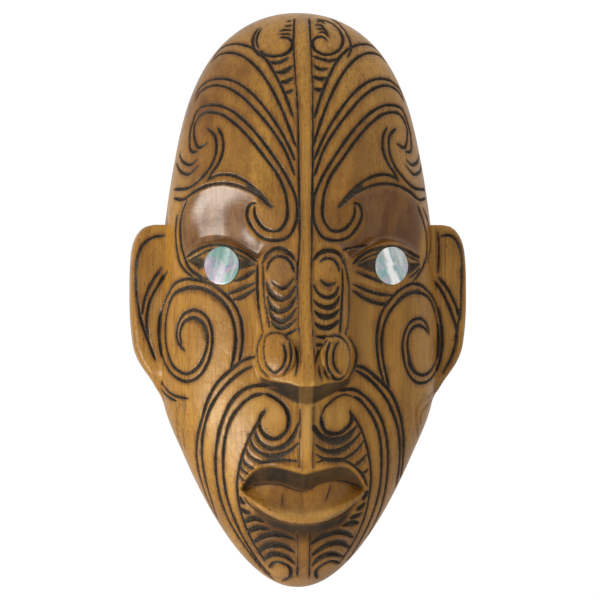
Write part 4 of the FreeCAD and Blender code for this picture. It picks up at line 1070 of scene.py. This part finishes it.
class Recipe:
    """A new material and short ways to add its nodes."""

    def __init__(self, name):
        self.material = bpy.data.materials.new(name)
        self.material.use_nodes = True
        self.tree = self.material.node_tree
        self.shader = self.tree.nodes["Principled BSDF"]
        self.place = self.tree.nodes.new("ShaderNodeTexCoord").outputs["Object"]

    def node(self, kind, inputs=None, **settings):
        made = self.tree.nodes.new(kind)
        for name, value in settings.items():
            setattr(made, name, value)
        for name, value in (inputs or {}).items():
            self.feed(made.inputs[name], value)
        return made

    def feed(self, socket, value):
        if isinstance(value, bpy.types.NodeSocket):
            self.tree.links.new(value, socket)
        elif socket.type == "RGBA" and len(value) == 3:
            socket.default_value = (*value, 1)
        else:
            socket.default_value = value

    def stretch(self, scale, turn=(0, 0, 0)):
        """Object coordinates scaled by a factor each way, after a turn in radians."""
        inputs = {"Vector": self.place, "Scale": scale, "Rotation": turn}
        return self.node("ShaderNodeMapping", inputs).outputs[0]

    def noise(self, vector, scale=1.0, detail=3.0, roughness=0.5, distortion=0.0):
        inputs = {"Vector": vector, "Scale": scale, "Detail": detail, "Roughness": roughness,
                  "Distortion": distortion}
        return self.node("ShaderNodeTexNoise", inputs).outputs["Fac"]

    def math(self, operation, a, b=0.0, clamp=False):
        return self.node("ShaderNodeMath", {0: a, 1: b}, operation=operation, use_clamp=clamp).outputs[0]

    def fit(self, value, low, high, to_low=0.0, to_high=1.0):
        """A value's range mapped to another one, smoothly and clamped."""
        inputs = {"Value": value, "From Min": low, "From Max": high, "To Min": to_low, "To Max": to_high}
        return self.node("ShaderNodeMapRange", inputs, interpolation_type="SMOOTHSTEP").outputs[0]

    def mix(self, factor, a, b):
        made = self.node("ShaderNodeMix", data_type="RGBA")
        self.feed(made.inputs[0], factor)
        self.feed(made.inputs[6], a)
        self.feed(made.inputs[7], b)
        return made.outputs[2]

    def attribute(self, name):
        return self.node("ShaderNodeAttribute", attribute_name=name).outputs["Fac"]

    def bump(self, height, distance, strength=1.0):
        inputs = {"Height": height, "Distance": distance, "Strength": strength}
        self.feed(self.shader.inputs["Normal"], self.node("ShaderNodeBump", inputs).outputs[0])

    def finish(self, **inputs):
        for name, value in inputs.items():
            self.feed(self.shader.inputs[name.replace("_", " ")], value)
        return self.material


WOOD_LIGHT = (0.46, 0.228, 0.036)
WOOD_MAIN = (0.33, 0.150, 0.018)
# Paler wood, for wear and for painted highlights.
WOOD_WORN_AND_HIGHLIGHT = (0.62, 0.36, 0.10)
WOOD_DARK = (0.17, 0.064, 0.008)
# Brown stain, also used for painted shade.
BROWN_STAIN_AND_SHADE = (0.112, 0.036, 0.003)
# Near-black stain for specks, also used for painted shade under the nose and the lower lip.
BLACK_STAIN_AND_SHADE = (0.016, 0.010, 0.006)
CUT_DARK = (0.012, 0.010, 0.008)
CUT_WORN = (0.060, 0.042, 0.028)

# The wood's patterns: how many times a metre each repeats along x, y and z, and its noise settings.
GRAIN = {
    "broad": ((16, 16, 5), {"detail": 2.0}),
    "band": ((85, 45, 3.4), {"detail": 4.0, "roughness": 0.6, "distortion": 0.5}),
    "fibre": ((800, 450, 24), {"detail": 3.0, "roughness": 0.65}),
    "pore": ((2200, 1300, 70), {"detail": 1.0}),
    "mottle": ((150, 150, 60), {"detail": 5.0, "roughness": 0.7}),
    "specks": ((700, 700, 350), {"detail": 2.0}),
    "nicks": ((1500, 1500, 1500), {"detail": 2.0}),
}
# Darker layers of the bare wood: pattern, the range of it that shows, greatest share, colour.
LAYERS = [
    ("band", 0.42, 0.75, 0.55, WOOD_DARK),
    ("fibre", 0.45, 0.72, 0.40, WOOD_DARK),
    ("pore", 0.56, 0.70, 0.6, BROWN_STAIN_AND_SHADE),
    ("mottle", 0.52, 0.70, 0.5, WOOD_DARK),
    ("specks", 0.69, 0.74, 0.7, BLACK_STAIN_AND_SHADE),
]
# Stains over it, with painted shade and painted highlights among them: the mesh's attribute, the pattern that
# breaks it up, the pattern's range, the share of the stain that is left at each end of that range, and
# colour.
STAINS_AND_PAINTED_LIGHT = [
    # paler wear, and painted highlights on the nose's tip, the raised strips, the right cheek and the lower
    # lip's rim
    ("worn_and_highlight", "mottle", 0.35, 0.65, 0.6, 0.6, WOOD_WORN_AND_HIGHLIGHT),
    # brown stain, and painted shade on the chin, under the lower lip, at the left jaw's edge and on the left
    # cheek
    ("brown_stain_and_shade", "mottle", 0.35, 0.65, 1.15, 0.6, BROWN_STAIN_AND_SHADE),
    # painted shade under the nose and the lower lip, and dark stain with painted shade in the mouth's opening
    ("black_stain_and_shade", "band", 0.3, 0.7, 0.92, 1.05, BLACK_STAIN_AND_SHADE),
    ("soft_stain", "fibre", 0.3, 0.7, 0.3, 0.85, BROWN_STAIN_AND_SHADE),
]


def wood_with_stains_and_painted_light(wood, grain):
    """Colour of the wood with its stains, painted shade and painted highlights, and how much of each lies at
    a point.
    """
    colour = wood.mix(wood.fit(grain["broad"], 0.32, 0.68), WOOD_MAIN, WOOD_LIGHT)
    for pattern, low, high, most, tint in LAYERS:
        colour = wood.mix(wood.fit(grain[pattern], low, high, 0.0, most), colour, tint)
    shares = {}
    for name, pattern, low, high, at_low, at_high, tint in STAINS_AND_PAINTED_LIGHT:
        left = wood.fit(grain[pattern], low, high, at_low, at_high)
        shares[name] = wood.math("MULTIPLY", wood.attribute(name), left)
        colour = wood.mix(shares[name], colour, tint)
    return colour, shares


def wood_material():
    """Golden brown wood with upright grain, stained cuts, painted shade and highlights, and a satin varnish.
    """
    wood = Recipe("varnished_wood")
    grain = {name: wood.noise(wood.stretch(scale), **settings) for name, (scale, settings) in GRAIN.items()}
    fibre, nicks = grain["fibre"], grain["nicks"]
    colour, shares = wood_with_stains_and_painted_light(wood, grain)
    ragged = wood.math("ADD", wood.attribute("stain"), wood.fit(nicks, 0.3, 0.7, -0.25, 0.25))
    inked = wood.fit(ragged, 0.25, 0.75)
    colour = wood.mix(inked, colour, wood.mix(wood.fit(nicks, 0.4, 0.65), CUT_DARK, CUT_WORN))

    # the inked cuts and the near-black painted shade are duller, and the varnish is thick only where it is
    # polished
    dull = wood.math("ADD", wood.math("MULTIPLY", inked, 0.3), wood.math("MULTIPLY", shares["black_stain_and_shade"], 0.45))
    roughness = wood.math("ADD", wood.fit(fibre, 0.3, 0.7, 0.30, 0.42), dull, clamp=True)
    varnish = wood.fit(wood.attribute("polish"), 0, 1, 0.12, 0.76)
    varnish = wood.math("MULTIPLY", varnish, wood.fit(dull, 0, 0.3, 1, 0))
    wood.shader.inputs["Specular IOR Level"].default_value = 0.36
    wood.shader.inputs["Specular Tint"].default_value = (1.0, 0.86, 0.66, 1.0)

    # fibres, the nicked floor of the cuts, and the slanting strokes of the knife
    slanting = wood.stretch((90, 90, 150), turn=(0, 0.5, 0))
    strokes = wood.noise(slanting, detail=3.0, roughness=0.55, distortion=0.6)
    height = wood.math("ADD", fibre, wood.math("MULTIPLY", wood.math("MULTIPLY", nicks, inked), 2.0))
    height = wood.math("ADD", height, wood.math("MULTIPLY", strokes, 5.0))
    wood.bump(height, 0.00014, 0.6)
    return wood.finish(Base_Color=colour, Roughness=roughness, Coat_Weight=varnish, Coat_Roughness=0.30)


# The shell's colours: three clouds and the veins.
LEFT_SHELL = ((0.14, 0.27, 0.22), (0.31, 0.23, 0.29), (0.06, 0.19, 0.25), (0.48, 0.54, 0.50))
RIGHT_SHELL = ((0.44, 0.50, 0.47), (0.26, 0.44, 0.45), (0.58, 0.48, 0.62), (0.90, 0.92, 0.86))
SHELL_BAND = (1.0, 1.0, 0.97)
SHELL_SHADE = (0.10, 0.12, 0.12)
# Metres from the disc's middle line: how far the bright band wanders, and where it fades out.
BAND_WANDER = 0.0012
BAND_FADE = (0.0006, 0.0030)


def shell_material(name, disc, colours, turn, band):
    """Polished mother-of-pearl: soft clouds of three colours and pale veins, crossed by a bright band.

    turn is the slant of the veins and the band, and band is the band's strength.
    """
    main, second, third, pale = colours
    shell = Recipe(name)
    centre = (disc.centre + np.array([0, 0, MID_Z])) * MM
    place = {"Vector": shell.place, "Location": tuple(centre), "Rotation": (0, turn, 0)}
    local = shell.node("ShaderNodeMapping", place, vector_type="TEXTURE").outputs[0]
    stretched = shell.node("ShaderNodeMapping", {"Vector": local, "Scale": (260, 60, 60)}).outputs[0]
    cloud = shell.noise(local, scale=110, detail=2.0, distortion=0.8)
    drift = shell.noise(local, scale=190, detail=3.0, roughness=0.55, distortion=1.2)
    veins = shell.noise(stretched, detail=3.0, roughness=0.6, distortion=0.6)
    tint = shell.mix(shell.fit(cloud, 0.42, 0.60), main, second)
    tint = shell.mix(shell.fit(drift, 0.50, 0.66, 0.0, 0.8), tint, third)
    tint = shell.mix(shell.fit(veins, 0.45, 0.75, 0.0, 0.5), tint, pale)
    across = shell.node("ShaderNodeSeparateXYZ", {0: local}).outputs["X"]
    wander = shell.fit(cloud, 0.3, 0.7, -BAND_WANDER, BAND_WANDER)
    aside = shell.math("ABSOLUTE", shell.math("ADD", across, wander))
    tint = shell.mix(shell.fit(aside, *BAND_FADE, band, 0.0), tint, SHELL_BAND)
    tint = shell.mix(shell.fit(drift, 0.26, 0.40, 0.4, 0.0), tint, SHELL_SHADE)
    shell.bump(veins, 0.0001, 0.3)
    return shell.finish(Base_Color=tint, Metallic=0.08, Roughness=shell.fit(veins, 0.3, 0.7, 0.26, 0.40),
                        Coat_Weight=0.3, Coat_Roughness=0.10)


def glue_material():
    """Dark hard resin with a slightly uneven surface."""
    glue = Recipe("dark_resin")
    cloud = glue.noise(glue.stretch((400, 400, 400)), detail=3.0)
    colour = glue.mix(cloud, (0.02, 0.012, 0.008), (0.06, 0.035, 0.02))
    glue.bump(cloud, 0.0002, 0.4)
    return glue.finish(Base_Color=colour, Roughness=glue.fit(cloud, 0.3, 0.7, 0.2, 0.4))


ZINC = (0.62, 0.62, 0.60)
YELLOW_ZINC = (0.66, 0.58, 0.38)
ROLLED_MARKS = (300, 300, 3000)
FINE_MARKS = (1500, 1500, 1500)
SPOT_SHADE = 0.55


def steel_material(name, tint, marks_scale):
    """Zinc-plated steel with fine marks and dull spots."""
    steel = Recipe(name)
    marks = steel.noise(steel.stretch(marks_scale), detail=3.0, roughness=0.6)
    spots = steel.noise(steel.stretch((260, 260, 260)), detail=4.0, roughness=0.65)
    dull = tuple(SPOT_SHADE * value for value in tint)
    colour = steel.mix(steel.fit(spots, 0.45, 0.75, 0.0, 0.7), tint, dull)
    steel.bump(marks, 0.00003, 0.5)
    in_marks, in_spots = steel.fit(marks, 0.3, 0.7, 0.24, 0.36), steel.fit(spots, 0.5, 0.8, 0.0, 0.15)
    roughness = steel.math("ADD", in_marks, in_spots)
    return steel.finish(Base_Color=colour, Metallic=1.0, Roughness=roughness)


def give(piece, material):
    piece.data.materials.clear()
    piece.data.materials.append(material)


# ---- the shell discs


DISC_SIDES = 96
DISC_EDGE = 0.28
DISC_CROWN = 0.35
# How far a hand-cut disc is from round: its mean radius, and the size of two waves round its edge.
DISC_MEAN, DISC_OVAL, DISC_WAVE = 0.985, 0.008, 0.005


def disc_profile(disc):
    """Half of a disc's section from its back middle to its front middle: radius and height."""
    inner = disc.radius - DISC_EDGE
    side = disc.thick - DISC_CROWN
    turn = np.linspace(-math.pi / 2, math.pi / 2, 9)
    corner = inner + DISC_EDGE * np.cos(turn)
    back = [(0.0, 0.0), (disc.radius / 2, 0.0)]
    low = list(zip(corner[:5], DISC_EDGE + DISC_EDGE * np.sin(turn[:5])))
    high = list(zip(corner[4:], side - DISC_EDGE + DISC_EDGE * np.sin(turn[4:])))
    crown = [(r, side + DISC_CROWN * (1 - (r / inner) ** 2)) for r in np.linspace(inner, 0, 12)[1:]]
    return np.array(back + low + high + crown)


def make_disc(name, node, disc, material, phase):
    """A hand-cut shell disc: nearly round, with eased edges and a faint crown."""
    profile = disc_profile(disc)
    turn = np.linspace(0, 2 * math.pi, DISC_SIDES, endpoint=False)
    wobble = DISC_MEAN + DISC_OVAL * np.sin(2 * turn + phase) + DISC_WAVE * np.sin(5 * turn + 2 * phase)
    around = np.stack([wobble * np.cos(turn), wobble * np.sin(turn), np.zeros(DISC_SIDES)], axis=1)
    rings = [radius * around + [0, 0, height] for radius, height in profile[1:-1]]
    ends = np.array([[0, 0, profile[0][1]], [0, 0, profile[-1][1]]])
    quads, triangles = closed_faces(len(rings), DISC_SIDES)
    piece = new_mesh(name, disc.placed(np.vstack(rings + [ends])), quads, triangles)
    piece.data.set_sharp_from_angle(angle=DISC_SHARP)
    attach(piece, "mask")
    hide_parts(node)
    give(piece, material)
    return piece


# ---- stage, light and camera


FLOOR_SIZE = 3.2
FLOOR_DROP = 1.6
# Strength of the studio's light from straight below and from above, and of the background.
LIGHT_BELOW, LIGHT_ABOVE, BACKGROUND = 0.40, 1.02, 1.02
# The soft lamp low on the viewer's left: its place from the mask's middle, size (metres) and watts.
LAMP_PLACE, LAMP_SIZE, LAMP_POWER = (-1.56, -0.98, -0.80), 0.9, 34
MIDDLE = Vector((0, 0, MID_Z * MM))
FILM_WIDTH = 36


def make_stage():
    """A pale floor well below the mask, which hangs on a wall."""
    bpy.ops.mesh.primitive_plane_add(size=FLOOR_SIZE, location=(0, 0, cad_bounds[0].z - FLOOR_DROP))
    floor = bpy.context.object
    floor.name = "floor"
    pale = Recipe("pale_floor")
    cloud = pale.noise(pale.stretch((6, 6, 6)), detail=3.0)
    colour = pale.mix(cloud, (0.80, 0.80, 0.79), (0.86, 0.86, 0.85))
    give(floor, pale.finish(Base_Color=colour, Roughness=0.7))


def make_world():
    """White all round as a background, and as light a soft white that is brightest overhead."""
    world = bpy.data.worlds.new("studio")
    world.use_nodes = True
    nodes, links = world.node_tree.nodes, world.node_tree.links
    split = nodes.new("ShaderNodeSeparateXYZ")
    links.new(nodes.new("ShaderNodeTexCoord").outputs["Generated"], split.inputs[0])
    height = nodes.new("ShaderNodeMapRange")
    links.new(split.outputs["Z"], height.inputs["Value"])
    seen = nodes.new("ShaderNodeMapRange")
    links.new(nodes.new("ShaderNodeLightPath").outputs["Is Camera Ray"], seen.inputs["Value"])
    links.new(height.outputs[0], seen.inputs["To Min"])
    settings = ((height, "From Min", -0.7), (height, "From Max", 0.9), (height, "To Min", LIGHT_BELOW),
                (height, "To Max", LIGHT_ABOVE), (seen, "To Max", BACKGROUND))
    for node, name, value in settings:
        node.inputs[name].default_value = value
    links.new(seen.outputs[0], nodes["Background"].inputs["Strength"])
    nodes["Background"].inputs["Color"].default_value = (1, 1, 1, 1)
    bpy.context.scene.world = world


def make_lamp():
    """A square soft light that faces the middle of the mask."""
    light = bpy.data.lights.new("key", "AREA")
    light.size = LAMP_SIZE
    light.energy = LAMP_POWER
    lamp = bpy.data.objects.new("key", light)
    lamp.location = MIDDLE + Vector(LAMP_PLACE)
    aim = MIDDLE + Vector((0, -0.04, 0)) - lamp.location
    lamp.rotation_euler = aim.to_track_quat("-Z", "Y").to_euler()
    bpy.context.scene.collection.objects.link(lamp)


def make_camera():
    """Level with the middle of the mask, a little to the viewer's left of straight ahead."""
    camera = bpy.data.cameras.new("camera")
    camera.sensor_width = FILM_WIDTH
    camera.lens = FILM_WIDTH * SIGHT_DISTANCE / VIEW_SIZE
    camera.clip_end = 50
    holder = bpy.data.objects.new("camera", camera)
    back = Vector((-math.sin(SIGHT_TURN), -math.cos(SIGHT_TURN), 0))
    side = Vector((math.cos(SIGHT_TURN), -math.sin(SIGHT_TURN), 0))
    aim = MIDDLE + (side * SIGHT_AXIS + back * SIGHT_PLANE) * MM
    holder.location = aim + back * SIGHT_DISTANCE * MM
    holder.rotation_euler = (-back).to_track_quat("-Z", "Y").to_euler()
    bpy.context.scene.collection.objects.link(holder)
    bpy.context.scene.camera = holder


# ---- the object and its studio


DISCS = [Disc("left_eye_disc"), Disc("right_eye_disc")]
left_disc, right_disc = DISCS

mask = make_mask()
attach(mask, "mask")
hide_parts("mask_body")
give(mask, wood_material())

left_shell = shell_material("shell_left", left_disc, LEFT_SHELL, turn=0.2, band=0.2)
right_shell = shell_material("shell_right", right_disc, RIGHT_SHELL, turn=-0.35, band=1.0)
make_disc("left_shell_eye", "left_eye_disc", left_disc, left_shell, phase=0.2)
make_disc("right_shell_eye", "right_eye_disc", right_disc, right_shell, phase=1.3)

glue = glue_material()
for node in ("left_eye_adhesive", "right_eye_adhesive"):
    give(frame["nodes"][node], glue)
give(frame["nodes"]["hanger_strap"], steel_material("strap_steel", ZINC, ROLLED_MARKS))
give(frame["nodes"]["hanger_ring"], steel_material("ring_steel", ZINC, FINE_MARKS))
screw_steel = steel_material("screw_steel", YELLOW_ZINC, FINE_MARKS)
for node in ("upper_hanger_screw", "lower_hanger_screw"):
    give(frame["nodes"][node], screw_steel)

make_stage()
make_world()
make_lamp()
make_camera()
bpy.context.scene.view_settings.view_transform = "Standard"
